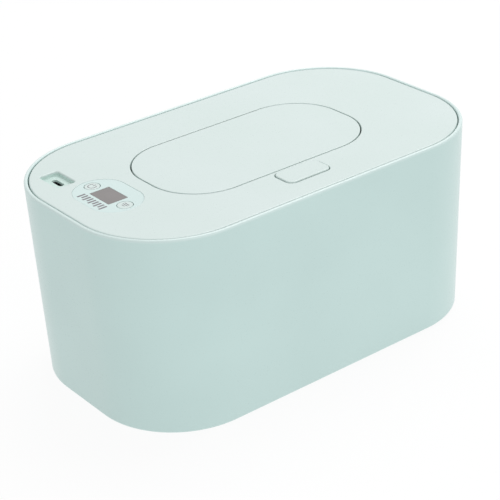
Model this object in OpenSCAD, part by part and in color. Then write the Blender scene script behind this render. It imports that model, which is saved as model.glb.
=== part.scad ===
// Top-heated wipe warmer: a drafted tub with a lift-off lid. The lid holds the heater, the
// control board, the power socket and a sprung dispensing door with its push latch.
// X runs along the tub, +Y is the side the door is hinged on, Z is up, and the feet stand on
// z = 0. Most outlines are a rectangle of corner centres, here a "core", grown by a radius.

/* [Tub] */
// Outside width at the rim
body_w = 225; // [219:1:236]
// Outside depth at the rim
body_d = 133.6; // [131:0.2:144]
// Radius of the corners at the rim, seen from above
corner_r = 49.3; // [48.6:0.1:51]
// Height from the shell's lower edge to the rim
body_h = 105.3; // [100:0.1:125]
// How far each side draws in at the lower edge
draft = 2.9; // [0.5:0.1:3.2]
// Wall of the outer shell
shell_t = 2.4; // [2:0.1:2.8]
// Width of the rim's top edge, round the lid
lip_t = 2; // [1.6:0.1:2.3]
// Rounding of the rim's outer edge
rim_round = 1.1; // [0.3:0.1:1.2]
// Rounding of the shell's lower edge
foot_round = 1.6; // [0.5:0.1:2]
// Space between the shell and the tank below the rim, left for insulation
wall_gap = 4.7; // [4.2:0.1:5.5]
// Wall and floor of the inner tank
tank_t = 1.8; // [1.5:0.1:2.2]
// Thickness of the tank's flange, which the lid rests on
flange_t = 2; // [1.6:0.1:2.6]
// Space under the tank's floor, above the base plate
floor_gap = 8.8; // [7:0.1:12]
// Thickness of the base plate
base_t = 2.2; // [1.8:0.1:3]
// How far the rubber feet stand below the shell
foot_out = 1; // [0.8:0.1:3]
// Diameter of a rubber foot
foot_d = 14; // [10:0.5:18]

/* [Lift tray] */
// Height of the unloaded tray's underside above the tank's floor
tray_lift = 42; // [38:0.5:50]
// Thickness of the tray
tray_t = 2; // [1.6:0.1:3]
// Space between the tray and the tank's wall
tray_gap = 1.5; // [1:0.1:3]
// Mean radius of a lift spring's widest, lowest turn
spring_wide = 15; // [13:0.5:17]
// Mean radius of a lift spring's narrowest, highest turn
spring_narrow = 9; // [7:0.5:11]
// Wire of a lift spring
spring_wire = 1.2; // [1:0.1:1.6]

/* [Lid] */
// Running gap between the lid and the rim
lid_gap = 0.5; // [0.4:0.1:0.8]
// How far the lid's face lies below the rim
lid_drop = 0.25; // [0.1:0.05:0.8]
// Height of the lid's edge above the tank's flange
lid_edge_h = 4.4; // [4.2:0.1:5.5]
// Thickness of the lid's top plate
panel_t = 2.2; // [2:0.1:2.6]
// Depth of the under cover below the top plate
cover_h = 17.8; // [17.4:0.1:22]
// Wall of the under cover
cover_t = 1.6; // [1.4:0.1:2]
// Space between the under cover and the tank's wall
cover_gap = 1.2; // [0.8:0.1:1.8]
// Width of the under cover's border round the heat plate
cover_border = 4.9; // [4:0.1:7]
// Thickness of the aluminium heat plate
plate_t = 1.2; // [1:0.1:1.4]
// Thickness of the heating film
film_t = 0.6; // [0.4:0.1:0.8]
// Thickness of the insulation pad
pad_t = 2; // [1.6:0.1:2.2]

/* [Door] */
// Distance from the tub's left side to the door
door_left = 50.15; // [48:0.05:54]
// Distance from the tub's right side to the door
door_right = 52.75; // [50:0.05:57]
// Distance from the tub's front side to the door
door_front = 32.75; // [32:0.05:34]
// Distance from the tub's rear side to the door
door_rear = 34.75; // [34:0.05:37]
// Length of the straight part of the door's ends
door_flat = 10.8; // [6:0.1:14]
// Seam round the door
door_gap = 0.7; // [0.65:0.05:0.9]
// Thickness of the door's outer panel
door_t = 1.8; // [1.6:0.1:2]
// Thickness of the door's inner plate
inner_t = 1.4; // [1.2:0.1:1.6]
// Depth of the well under the door
well_h = 11.05; // [10.9:0.05:11.4]
// Height of the collar round the dispensing throat
collar_h = 4.6; // [4:0.1:5.2]
// Radius of the throat's corners
throat_r = 14.6; // [13:0.1:16]
// Radius of the hinge pins and the latch pin
pin_r = 1; // [0.8:0.05:1.05]
// Width of a hinge arm
arm_w = 8; // [6:0.5:9]

/* [Latch] */
// Width of the latch button
button_w = 26; // [24:0.5:30]
// Depth of the latch button
button_d = 14; // [13:0.1:15]
// Radius of the latch button's corners
button_r = 3.7; // [3:0.1:4.5]
// Distance of the latch button's centre to the right of the door's centre
button_off = 0.2; // [-2:0.1:2]
// How far the latch button stands above the lid
button_up = 0.5; // [0:0.1:0.8]
// Running gap round the latch button
button_gap = 0.5; // [0.4:0.05:0.7]
// How far the latch button travels
button_travel = 1.6; // [1.4:0.05:1.6]

/* [Controls] */
// Distance of the control oval's centre from the tub's left side
control_in = 28; // [27.5:0.1:30]
// Width of the control oval
control_w = 27; // [25:0.1:28]
// Length of the control oval
control_l = 40; // [39:0.1:43]
// Depth that the overlay is let in
control_drop = 0.5; // [0.4:0.05:0.7]
// Size of the display window along X
window_w = 11; // [10:0.1:12]
// Size of the display window along Y
window_l = 16.3; // [14:0.1:17]
// Distance of each key from the oval's centre
key_off = 14.05; // [13.95:0.05:14.6]
// Radius of a key cap
key_r = 3.8; // [3.6:0.05:3.9]
// Travel of a key
key_travel = 0.4; // [0.25:0.05:0.5]
// Distance of the socket pocket's centre from the tub's left side
socket_in = 20.15; // [19.8:0.05:21]
// Distance of the socket pocket's centre from the tub's rear side
socket_back = 33.8; // [33.4:0.1:34.8]
// Distance of the socket pocket's centre from the end of the control oval
socket_off = 12.5; // [11.5:0.1:13.5]
// Size of the socket pocket along X
pocket_w = 10.5; // [9:0.1:11]
// Size of the socket pocket along Y
pocket_l = 17; // [15:0.1:17.4]
// Depth of the socket pocket
pocket_h = 2.3; // [2:0.1:2.5]

/* [Hidden] */
$fn = 96;

mint = "#c1d9d6";
mint_light = "#ccdad7";
tank_white = "#eef1ee";
steel = "#b9bcc0";

slack = 0.2;   // between parts that are only set in place
cut = 1;       // how far a cutting body runs past a face
shaft_gap = 0.05;

// Levels
z_case = foot_out;
z_rim = z_case + body_h;
z_lid = z_rim - lid_drop;
z_panel = z_lid - panel_t;
z_ledge = z_lid - lid_edge_h;
z_seat = z_ledge - flange_t;
z_base = z_case + base_t;
z_boss = z_base + 2;
z_tank = z_base + floor_gap + tank_t;
z_tray = z_tank + tray_lift;
z_cover = z_panel - cover_h;
z_floor = z_cover + plate_t + film_t + pad_t;
z_inside = z_floor + cover_t + 0.2;
z_deck = z_lid - well_h;
z_collar = z_deck + collar_h;
z_door = z_lid - door_t - inner_t;
deck_t = 1.6;

// Outlines that share the tub's corner centres
core = [body_w / 2 - corner_r, body_d / 2 - corner_r];
r_foot = corner_r - draft;
r_lip = corner_r - lip_t;
r_lid = r_lip - lid_gap;
r_tank_out = corner_r - shell_t - wall_gap;
r_tank = r_tank_out - tank_t;
tank_draft = 1;
r_tray = r_tank - tank_draft - tray_gap;
r_cover = r_tank - cover_gap;
r_recess = r_cover - cover_border;
r_plate = r_recess - 0.3;
edge_t = 1.6;
r_seal = r_lid - edge_t - slack;
seal_w = 2;

// Outlines that share the door's corner centres
door_w = body_w - door_left - door_right;
door_d = body_d - door_front - door_rear;
door_x = (door_left - door_right) / 2;
door_y = (door_front - door_rear) / 2;
door_r = (door_d - door_flat) / 2;
door_core = [door_w / 2 - door_r, door_d / 2 - door_r];
r_open = door_r + door_gap;
well_t = 1.2;
throat_t = 1.8;
r_throat = throat_r + throat_t;
r_seat = throat_r + throat_t / 2;
seat_w = 2.4;

// Hinge: pivot behind the door's rear edge and below the lid's face
pivot_back = 3.6;
pivot_down = 3.3;
hinge_skin = 1.2;
hub_r = 1.9;
pivot_y = door_y + door_d / 2 + pivot_back;
pivot_z = z_lid - pivot_down;
sweep_r = norm([pivot_back - door_gap, pivot_down]) + 0.15;
arm_t = 1.8;
wind_w = 3.2;
ear_t = 1.6;
hinge_x = door_core.x - arm_w / 2 - 0.3 - ear_t - 0.5;
nest_in = arm_w / 2 + 0.3;
nest_out = nest_in + wind_w + 0.3;
nest_back = 4.2;

// Latch: a bell crank whose hook goes through the well's front wall
web_t = 1.25;
hole_y = door_y - door_d / 2 - door_gap - web_t;
button_x = door_x + button_off;
button_y = hole_y - button_gap - button_d / 2;
cap_t = 2;
button_low = 1.3;
crank_y = hole_y - 2.6;
crank_z = z_lid - 9.05;
crank_w = 16;
crank_arm = 6.3;
hook_z = crank_z + 3;
hook_t = 1.6;
tongue_y = hole_y + 2.7;
tongue_t = 1.6;
nose = 0.95;
hook_w = 8;
foot_y = crank_y - crank_arm;

// Controls
socket_x = socket_in - body_w / 2;
socket_y = body_d / 2 - socket_back;
control_x = control_in - body_w / 2;
control_y = socket_y - socket_off - control_l / 2;
window_x = control_x + 0.3;
window_y = control_y - 0.25;
overlay_t = control_drop - 0.1;
key_gap = 0.3;
port_x = socket_x + 0.45;
port_y = socket_y + 0.65;
port_w = 3.26;
port_l = 8.94;
pocket_t = 1.2;
pocket_r = 1.5;

// Control board
board_t = 1.6;
z_board = z_inside + 2;
z_top = z_board + board_t;
board_right = door_x - door_core.x - r_open - well_t - 3.2;
board_low = -core.y - 13.5;
board_high = socket_y + 8;
board_holes = [[board_right - 3.5, board_low + 4], [board_right - 3.5, board_high - 4],
               [control_x - 11.3, control_y]];
switch_w = 6;
switch_h = 3.4;

// Port in the under cover where the heater's leads come up
lead_port = [board_right + 5.5, board_low - 7];
lead_size = [16, 12];

lid_posts = [for (s = [-1, 1]) [45 * s, core.y + 28.5], for (s = [-1, 1]) [45 * s, -core.y - 28.5],
             [core.x + 20.8, 30], [core.x + 20.8, -30], [-core.x - 14.8, -core.y - 24.5],
             [-core.x - 6.8, core.y + 29.5]];
plate_posts = [for (x = [-1, 1]) [x * (core.x + 18.8), 0],
               for (x = [-35, 35], y = [-1, 1]) [x, y * (core.y + 22.5)]];
base_posts = [for (x = [-1, 1], y = [-1, 1]) [x * (core.x - 8), y * (core.y + 20)]];
foot_posts = [for (x = [-1, 1], y = [-1, 1]) [x * (core.x + 15), y * (core.y + 12)]];
spring_row = 45;
spring_posts = [for (x = [-1, 1], y = [-1, 1]) [x * (core.x - 3), y * spring_row / 2]];

// Posts of the under cover and of the lid meet, and one screw holds each pair
post_h = 4.4;
post_drop = z_panel - z_inside - post_h;

screw_r = 1.4;
screw_head = [2.7, 2];
seat_t = 1.8;  // plastic under a screw's head
small_r = 1;
small_head = [1.9, 1.2];

// ---- outlines and sections ----

// Points of an arc round c, from angle a to angle b
function arc(c, r, a, b, n = 5) =
  [for (i = [0:n]) let (t = a + (b - a) * i / n) c + r * [cos(t), sin(t)]];

// Radius of the shell's outside at a height
function shell_r(z) = corner_r - draft * (z_rim - z) / body_h;

// Radius of the tank's outside at a height
function tank_r(z) = r_tank_out - tank_draft * (z_seat - z) / (z_seat - z_base - floor_gap);

// A core grown by r
module outline(c, r) {
  square([2 * (c.x + r), 2 * c.y], center = true);
  square([2 * c.x, 2 * (c.y + r)], center = true);
  for (x = [-c.x, c.x], y = [-c.y, c.y]) translate([x, y]) circle(r);
}

// A solid or, with r_in, a ring on that outline between two heights
module slab(c, r, low, high) {
  translate([0, 0, low]) linear_extrude(high - low) outline(c, r);
}

module ring(c, r_in, r_out, low, high) {
  translate([0, 0, low]) linear_extrude(high - low) difference() {
    outline(c, r_out);
    outline(c, r_in);
  }
}

// A rounded rectangle w by d
module rounded(w, d, r) {
  outline([w / 2 - r, d / 2 - r], r);
}

// Carries a section, drawn as radius and height, round a core
module swept(c) {
  for (q = [[1, 1, 0], [-1, 1, 90], [-1, -1, 180], [1, -1, 270]])
    translate([q[0] * c.x, q[1] * c.y, 0]) rotate([0, 0, q[2]]) rotate_extrude(angle = 90) children();
  for (a = [0, 180]) rotate([0, 0, a]) {
    translate([-c.x, c.y, 0]) rotate([90, 0, 90]) linear_extrude(2 * c.x) children();
    translate([c.x, c.y, 0]) rotate([90, 0, 0]) linear_extrude(2 * c.y) children();
  }
}

// The oval of the control overlay
module control_oval(grow) {
  end_r = control_w / 2 + grow;
  half = (control_l - control_w) / 2;
  square([2 * end_r, 2 * half], center = true);
  for (s = [-1, 1]) translate([0, s * half]) circle(end_r);
}

module at_door() {
  translate([door_x, door_y, 0]) children();
}

// Both hinges: the arm at x = 0, the spring on the side of the door's middle
module at_hinges() {
  for (s = [-1, 1]) translate([door_x + s * hinge_x, pivot_y, pivot_z])
    mirror([s > 0 ? 1 : 0, 0, 0]) children();
}

module at_crank() {
  translate([button_x, crank_y, crank_z]) children();
}

module at_keys() {
  for (s = [-1, 1]) translate([window_x, control_y + s * key_off, 0]) children();
}

// A rod along X
module rod(r, x0, x1) {
  translate([x0, 0, 0]) rotate([0, 90, 0]) cylinder(r = r, h = x1 - x0);
}

// A block between two corners
module block(low, high) {
  translate(low) cube(high - low);
}

// A screw with the seat of its head at the origin and its shank down
module screw(head, shank_r, length) {
  difference() {
    union() {
      cylinder(r = head[0], h = head[1]);
      translate([0, 0, -length]) cylinder(r = shank_r, h = length);
    }
    for (a = [0, 90]) rotate([0, 0, a]) translate([-head[0] * 0.55, -head[0] * 0.13, head[1] * 0.4])
      cube([head[0] * 1.1, head[0] * 0.26, head[1]]);
  }
}

// ---- wires ----

function unit(v) = v / norm(v);
function along(p, i) = unit(p[min(i + 1, len(p) - 1)] - p[max(i - 1, 0)]);
function square_to(n, t) = unit(n - (n * t) * t);

// A normal at each point of a path, carried along without twisting
function normals(p, i = 0, n = [0.31, 0.52, 0.8]) =
  i == len(p) ? [] : let (m = square_to(n, along(p, i))) concat([m], normals(p, i + 1, m));

// A round wire along a path
module wire(path, r, sides = 6) {
  n = normals(path);
  last = len(path) - 1;
  points = [for (i = [0:last], k = [0:sides - 1])
    path[i] + r * (cos(360 * k / sides) * n[i] + sin(360 * k / sides) * cross(along(path, i), n[i]))];
  skin = [for (i = [0:last - 1], k = [0:sides - 1]) let (j = (k + 1) % sides, a = i * sides, b = a + sides)
    each [[a + k, b + k, b + j], [a + k, b + j, a + j]]];
  polyhedron(points, concat([[for (k = [0:sides - 1]) k]], skin,
                            [[for (k = [sides - 1:-1:0]) last * sides + k]]));
}

// Points of a coil that rises from z0 to z1 while its radius goes from r0 to r1. Three quarters
// of the first and of the last turn lie flat.
function coil(r0, r1, z0, z1, turns, steps) = [for (i = [0:turns * steps])
  let (t = i / steps, u = max(0, min(1, (t - 0.75) / (turns - 1.5))), r = r0 + (r1 - r0) * u)
  [r * cos(360 * t), r * sin(360 * t), z0 + (z1 - z0) * u]];

// ---- tub ----

module outer_shell() {
  top_in = z_seat - 1.2;
  slope_low = z_seat - 5.4;
  r_shelf = r_tank_out + 1.2;
  r_ring = r_foot - shell_t - 3;
  lip_round = 0.4;
  color(mint) swept(core) polygon(concat(
    arc([r_foot - foot_round, z_case + foot_round], foot_round, -90, -2),
    arc([corner_r - rim_round, z_rim - rim_round], rim_round, 0, 90),
    arc([r_lip + lip_round, z_rim - lip_round], lip_round, 90, 180),
    [[r_lip, z_seat], [r_shelf, z_seat], [r_shelf, top_in],
     [shell_r(slope_low) - shell_t, slope_low], [shell_r(z_boss) - shell_t, z_boss],
     [r_ring, z_boss], [r_ring, z_base], [r_foot - shell_t, z_base], [r_foot - shell_t, z_case]]));
}

module inner_tank() {
  floor_low = z_base + floor_gap;
  bend = 4;
  r_low = tank_r(floor_low);
  color(tank_white) difference() {
    union() {
      swept(core) polygon(concat(
        [[0, floor_low], [r_low - bend, floor_low]],
        arc([r_low - bend, floor_low + bend], bend, -90, 0),
        [[r_tank_out, z_seat], [r_lip - slack, z_seat], [r_lip - slack, z_ledge], [r_tank, z_ledge],
         [tank_r(z_tank + bend) - tank_t, z_tank + bend - tank_t]],
        arc([r_low - bend, floor_low + bend], bend - tank_t, 0, -90),
        [[0, z_tank]]));
      block([-core.x, -core.y, floor_low], [core.x, core.y, z_tank]);
      for (p = base_posts) translate([p.x, p.y, z_boss]) cylinder(r = 3.5, h = floor_low + 0.5 - z_boss);
      for (p = spring_posts) translate([p.x, p.y, z_tank - 0.3]) difference() {
        cylinder(r = spring_wide + spring_wire / 2 + 1.5, h = 1.8);
        translate([0, 0, -cut]) cylinder(r = spring_wide + spring_wire / 2 + 0.3, h = 1.8 + 2 * cut);
      }
    }
    for (p = base_posts) translate([p.x, p.y, z_boss - cut])
      cylinder(r = screw_r + shaft_gap, h = floor_gap - 3 + cut);
  }
}

module base_plate() {
  color(mint) difference() {
    union() {
      slab(core, r_foot - shell_t - slack, z_case, z_base);
      for (p = base_posts) translate([p.x, p.y, z_base - cut]) cylinder(r = 4.8, h = z_boss - z_base + cut);
      for (p = foot_posts) translate([p.x, p.y, z_base - cut]) cylinder(r = foot_d / 2 + 1.4, h = cut + 1);
    }
    for (p = base_posts) translate([p.x, p.y, 0]) {
      translate([0, 0, z_case - cut])
        cylinder(r = screw_head[0] + 0.3, h = z_boss - seat_t - z_case + cut);
      cylinder(r = screw_r + slack, h = z_boss + cut);
    }
    for (p = foot_posts) translate([p.x, p.y, z_case - cut]) cylinder(r = foot_d / 2 + 0.1, h = 1.2 + cut);
  }
}

module base_screws() {
  color(steel) for (p = base_posts) translate([p.x, p.y, z_boss - seat_t]) rotate([180, 0, 0])
    screw(screw_head, screw_r, seat_t + floor_gap - 3.6);
}

module rubber_feet() {
  color("#4a4c4d") for (p = foot_posts) translate([p.x, p.y, 0]) {
    cylinder(r = foot_d / 2, h = z_case + 1.2);
  }
}

// ---- lift tray ----

module lift_tray() {
  cup = spring_narrow + spring_wire / 2 + 0.5;
  cup_h = 2.4;
  rib_h = 2;
  color(tank_white) difference() {
    union() {
      slab(core, r_tray, z_tray, z_tray + tray_t);
      ring(core, r_tray - 1.6, r_tray, z_tray - rib_h, z_tray + cut);
      for (y = [-1, 1])
        block([-core.x - 20, y * 12 - 0.8, z_tray - rib_h], [core.x + 20, y * 12 + 0.8, z_tray + cut]);
      for (p = spring_posts) translate([p.x, p.y, z_tray - cup_h])
        cylinder(r = cup + 1.2, h = cup_h + cut);
    }
    for (p = spring_posts) translate([p.x, p.y, z_tray - cup_h - cut]) cylinder(r = cup, h = cup_h + cut);
    for (x = [-4:4], y = [-1, 1]) translate([x * 9, y * 34, z_tray - cut])
      cylinder(r = 2.6, h = tray_t + 2 * cut);
    for (x = [-1, 1]) translate([x * (core.x + 18), 0, z_tray - cut])
      cylinder(r = 11, h = tray_t + 2 * cut);
  }
}

module lift_springs() {
  half = spring_wire / 2;
  color(steel) for (p = spring_posts) translate([p.x, p.y, 0])
    wire(coil(spring_wide, spring_narrow, z_tank + half, z_tray - half, 5.5, 16), half);
}

// ---- lid ----

module lid_panel() {
  edge_round = 0.8;
  color(mint_light) difference() {
    union() {
      swept(core) polygon(concat(
        [[r_lid - 4, z_panel], [r_lid - edge_t, z_panel], [r_lid - edge_t, z_ledge], [r_lid, z_ledge]],
        arc([r_lid - edge_round, z_lid - edge_round], edge_round, 0, 90), [[r_lid - 4, z_lid]]));
      slab(core, r_lid - 3.5, z_panel, z_lid);
      at_door() slab(door_core, r_open + well_t, z_deck - deck_t, z_panel + 0.5);
      at_hinges() hinge_nest(ear_t, z_deck - deck_t);
      translate([socket_x, socket_y, z_lid - pocket_h - pocket_t]) linear_extrude(pocket_h)
        rounded(pocket_w + 2 * pocket_t, pocket_l + 2 * pocket_t, pocket_r + pocket_t);
      for (p = lid_posts) translate([p.x, p.y, z_panel - post_drop])
        cylinder(r = 3, h = post_drop + 0.5);
      crank_ears();
    }
    at_door() {
      slab(door_core, r_open, z_deck, z_lid + cut);
    }
    at_hinges() hinge_nest(0, z_deck);
    at_hinges() rod(pin_r + shaft_gap, -nest_in - ear_t - cut, nest_out + ear_t + cut);
    at_door() slab(door_core, throat_r, z_cover, z_deck + cut);
    translate([button_x, button_y, z_panel - cut]) linear_extrude(panel_t + 2 * cut)
      rounded(button_w + 2 * button_gap, button_d + 2 * button_gap, button_r + button_gap);
    block([button_x - hook_w / 2 - 1, hole_y - 0.5, hook_z - 0.6],
          [button_x + hook_w / 2 + 1, hole_y + web_t + 0.5, hook_z + 3.6]);
    at_crank() rod(pin_r + shaft_gap, -crank_w, crank_w);
    translate([control_x, control_y, z_lid - control_drop]) linear_extrude(control_drop + cut)
      control_oval(0.1);
    at_keys() translate([0, 0, z_panel - cut]) cylinder(r = key_r + key_gap, h = panel_t + 2 * cut);
    translate([window_x, window_y, z_panel - cut]) linear_extrude(panel_t + 2 * cut)
      rounded(window_w + slack, window_l + slack, 0.5);
    translate([socket_x, socket_y, z_lid - pocket_h]) linear_extrude(pocket_h + cut)
      rounded(pocket_w, pocket_l, pocket_r);
    translate([port_x, port_y, z_lid - pocket_h - pocket_t - cut]) linear_extrude(pocket_t + 2 * cut)
      rounded(port_w - 0.3, port_l - 0.3, 1.35);
    for (p = lid_posts) translate([p.x, p.y, z_panel - post_drop - cut])
      cylinder(r = screw_r + shaft_gap, h = post_drop + cut - 1);
  }
  color(mint_light) at_door() {
    ring(door_core, throat_r, r_throat, z_cover + 0.3, z_collar);
    ring(door_core, throat_r - 1.4, throat_r + 0.3, z_deck - deck_t + 1, z_deck - deck_t + 2.2);
  }
}

// The nest that each hinge arm and its spring turn in, grown by its wall
module hinge_nest(grow, low) {
  block([-nest_in - grow, -pivot_back + door_gap - well_t - 0.5 - (grow > 0 ? 0 : cut), low - pivot_z],
        [nest_out + grow, nest_back + (grow > 0 ? 1.2 : 0), pivot_down - hinge_skin]);
}

// Two ears on the well's front wall that carry the crank's pin
module crank_ears() {
  for (s = [-1, 1]) translate([button_x + s * (crank_w / 2 + 0.3 + ear_t / 2), 0, 0])
    block([-ear_t / 2, crank_y - 2.2, crank_z - 2.4], [ear_t / 2, hole_y + web_t, crank_z + 2.4]);
}

module lid_under_cover() {
  color(tank_white) difference() {
    union() {
      difference() {
        slab(core, r_cover, z_cover, z_panel);
        slab(core, r_cover - cover_t, z_inside, z_panel + cut);
      }
      for (p = lid_posts) translate([p.x, p.y, z_inside - cut]) cylinder(r = 4, h = post_h + cut);
      for (p = plate_posts) translate([p.x, p.y, z_inside - cut]) cylinder(r = 2.6, h = 1.4 + cut);
      for (p = board_holes) translate([p.x, p.y, z_inside - cut])
        cylinder(r = 2.4, h = z_board - z_inside + cut);
      translate([button_x, foot_y, z_inside - cut]) cylinder(r = 1.2, h = 2 + cut);
    }
    slab(core, r_recess, z_cover - cut, z_floor);
    at_door() slab(door_core, r_throat + 0.3, z_cover, z_inside + cut);
    block([lead_port.x - lead_size.x / 2, lead_port.y - lead_size.y / 2, z_floor - cut],
          [lead_port.x + lead_size.x / 2, lead_port.y + lead_size.y / 2, z_inside + cut]);
    translate([socket_x, socket_y, z_lid - pocket_h - pocket_t - 0.3]) linear_extrude(pocket_h + pocket_t)
      rounded(pocket_w + 2 * pocket_t + 0.6, pocket_l + 2 * pocket_t + 0.6, pocket_r + pocket_t + 0.3);
    for (p = lid_posts) translate([p.x, p.y, z_floor - cut]) {
      cylinder(r = screw_head[0] + 0.2, h = z_inside + post_h - seat_t - z_floor + cut);
      cylinder(r = screw_r + slack, h = z_panel - z_floor);
    }
    for (p = plate_posts) translate([p.x, p.y, z_floor - cut])
      cylinder(r = small_r + shaft_gap, h = z_inside + 0.8 - z_floor + cut);
    for (p = board_holes) translate([p.x, p.y, z_inside - 0.8]) cylinder(r = small_r + shaft_gap, h = 6);
  }
}

module lid_screws() {
  color(steel) for (p = lid_posts) translate([p.x, p.y, z_inside + post_h - seat_t]) rotate([180, 0, 0])
    screw(screw_head, screw_r, seat_t + post_drop - 2);
}

module tank_seal() {
  color("#f4f5f3") ring(core, r_seal - seal_w, r_seal, z_ledge, z_panel);
}

// Outline shared by the plate, the film and the pad, with the throat's hole
module heater_layer(grow, low, high) {
  difference() {
    slab(core, r_plate - grow, low, high);
    at_door() slab(door_core, r_throat + 0.6 + grow, low - cut, high + cut);
  }
}

module heat_plate() {
  color("#c9ccd0") difference() {
    heater_layer(0, z_cover, z_cover + plate_t);
    for (p = plate_posts) translate([p.x, p.y, z_cover]) {
      cylinder(r1 = 2.2, r2 = small_r + 0.3, h = 1);
      translate([0, 0, -cut]) cylinder(r = small_r + 0.3, h = plate_t + 2 * cut);
    }
  }
}

module plate_screws() {
  color(steel) for (p = plate_posts) translate([p.x, p.y, z_cover]) difference() {
    union() {
      cylinder(r1 = 2.1, r2 = small_r, h = 1);
      cylinder(r = small_r, h = z_inside + 0.4 - z_cover);
    }
    for (a = [0, 90]) rotate([0, 0, a]) translate([-1.1, -0.25, -cut]) cube([2.2, 0.5, cut + 0.6]);
  }
}

module heating_film() {
  z0 = z_cover + plate_t;
  color("#c8742c") difference() {
    heater_layer(1.5, z0, z0 + film_t);
    for (p = plate_posts) translate([p.x, p.y, z0 - cut]) cylinder(r = small_r + 0.6, h = film_t + 2 * cut);
  }
}

module insulation_pad() {
  z0 = z_cover + plate_t + film_t;
  color("#e6e2d6") difference() {
    heater_layer(0.4, z0, z_floor);
    for (p = plate_posts) translate([p.x, p.y, z0 - cut]) cylinder(r = small_r + 0.6, h = pad_t + 2 * cut);
    block([lead_port.x - lead_size.x / 2, lead_port.y - lead_size.y / 2, z0 - cut],
          [lead_port.x + lead_size.x / 2, lead_port.y + lead_size.y / 2, z_floor + cut]);
  }
}

z_film = z_cover + plate_t + film_t;
cutoff = [8, 4, 3];
cutoff_at = [lead_port.x + 1.5, lead_port.y - 3];
sensor_h = 2.6;
sensor_at = [lead_port.x - 5, lead_port.y + 3];

module thermal_cutoff() {
  color("#f0efe8") translate([cutoff_at.x, cutoff_at.y, z_film]) difference() {
    translate([-cutoff.x / 2, -cutoff.y / 2, 0]) cube(cutoff);
    for (s = [-1, 1]) translate([s * (cutoff.x / 2 - 0.8), 0, cutoff.z - 0.6]) cylinder(r = 0.75, h = 1);
  }
}

module temperature_sensor() {
  color("#3b3b3d") translate([sensor_at.x, sensor_at.y, z_film]) {
    cylinder(r = 2.2, h = 0.8);
    translate([0, 0, 0.5]) cylinder(r = 1.4, h = sensor_h - 0.5);
  }
}

connector = [5, 7.4, 4.2];
connectors_at = [[board_right - 3.4, board_low + 10], [board_right - 3.4, board_low + 19.5]];
lead_r = 0.7;
thin_r = 0.5;

// Leads leave a connector towards the well and dip through the port
function lead_path(from, to, high) = [
  [from.x, from.y, high], [from.x + 1.5, from.y, high], [from.x + 2.6, from.y - 1.5, high],
  [from.x + 2.8, from.y - 4, high], [(from.x + 2.8 + to.x) / 2, (from.y - 4 + to.y) / 2, high + 0.4],
  [to.x - 0.6, to.y + 1, high - 0.6], [to.x, to.y + 0.3, high - 1.8], [to.x, to.y, high - 3],
  [to.x, to.y, to.z]];

lead_x = board_right - 3.4 + connector.x / 2;
lead_z = z_top + 1.4;

module heater_leads() {
  y = connectors_at[0].y;
  color("#b23a34") wire(lead_path([lead_x, y - 1.5], [cutoff_at.x - cutoff.x / 2 + 0.8, cutoff_at.y,
    z_film + cutoff.z - 0.5], lead_z + 1.9), lead_r, 8);
  color("#2e2f31") wire(lead_path([lead_x, y + 1.5], [cutoff_at.x + cutoff.x / 2 + 1.6, cutoff_at.y + 3.8,
    z_film + 0.05], lead_z), lead_r, 8);
}

module sensor_leads() {
  y = connectors_at[1].y;
  color("#ececec") for (s = [-1, 1])
    wire([[lead_x, y + 1.1 * s, lead_z], [lead_x + 1.3, y + 1.1 * s, lead_z],
          [lead_x + 2.2 + 0.7 * s, y - 2 + s, lead_z + 1.2], [lead_x + 2.6 + 0.7 * s, y - 6.5, lead_z + 4],
          [lead_x + 2 + 0.7 * s, y - 13.5, lead_z + 4],
          [sensor_at.x + 0.7 * s, sensor_at.y + 4, lead_z + 3.6],
          [sensor_at.x + 0.7 * s, sensor_at.y + 0.8, lead_z - 0.5],
          [sensor_at.x + 0.7 * s, sensor_at.y, lead_z - 3],
          [sensor_at.x + 0.7 * s, sensor_at.y, z_film + sensor_h + 0.02]], thin_r, 8);
}

module dispensing_insert() {
  z0 = z_deck - deck_t + 2.2;
  color("#f2f3f0") at_door() difference() {
    union() {
      slab(door_core, throat_r - slack, z0, z0 + 1.2);
      ring(door_core, throat_r - 1.6, throat_r - slack, z0, z0 + 2.2);
      ring([door_core.x - 2, 1.2], 5.6, 6.8, z0, z0 + 2);
    }
    slab([door_core.x - 2, 1.2], 5.6, z0 - cut, z0 + 3);
  }
}

// ---- control board ----

module board_outline() {
  intersection() {
    outline(core, r_cover - cover_t - 0.7);
    translate([-body_w / 2, board_low]) square([board_right + body_w / 2, board_high - board_low]);
  }
}

module control_board() {
  color("#2f6b46") translate([0, 0, z_board]) difference() {
    linear_extrude(board_t) board_outline();
    for (p = board_holes) translate([p.x, p.y, -cut])
      cylinder(r = small_r + 0.15, h = board_t + 2 * cut);
  }
}

module board_screws() {
  color(steel) for (p = board_holes) translate([p.x, p.y, z_top])
    screw(small_head, small_r, z_top - z_inside + 0.5);
}

module controller_chip() {
  color("#252628") translate([board_right - 8.4, board_low + 25, z_top]) cube([6, 7, 1.5]);
}

module power_transistors() {
  size = [6.6, 6.1, 2.3];
  color("#252628") for (i = [1, 2]) translate([board_right - 6.5 - i * 7.2 + 0.6, board_high - 7.5, z_top])
    cube(size);
}

module board_capacitors() {
  color("#9aa0a6") for (p = [[-8, -23], [-8, -15.5], [-13, -11.5]])
    translate([board_right + p.x, board_high + p.y, z_top]) cylinder(r = 2.5, h = 5.4);
}

module lead_connectors() {
  color("#f0eee6") for (p = connectors_at) translate([p.x, p.y, z_top]) difference() {
    translate([-connector.x / 2, -connector.y / 2, 0]) cube(connector);
    translate([-connector.x / 2 + 0.6, -connector.y / 2 + 0.7, connector.z - 0.8])
      cube([connector.x - 1.2, connector.y - 1.4, cut]);
  }
}

window_lip = [1, 0.5];
z_window = z_panel - 0.8;

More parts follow.
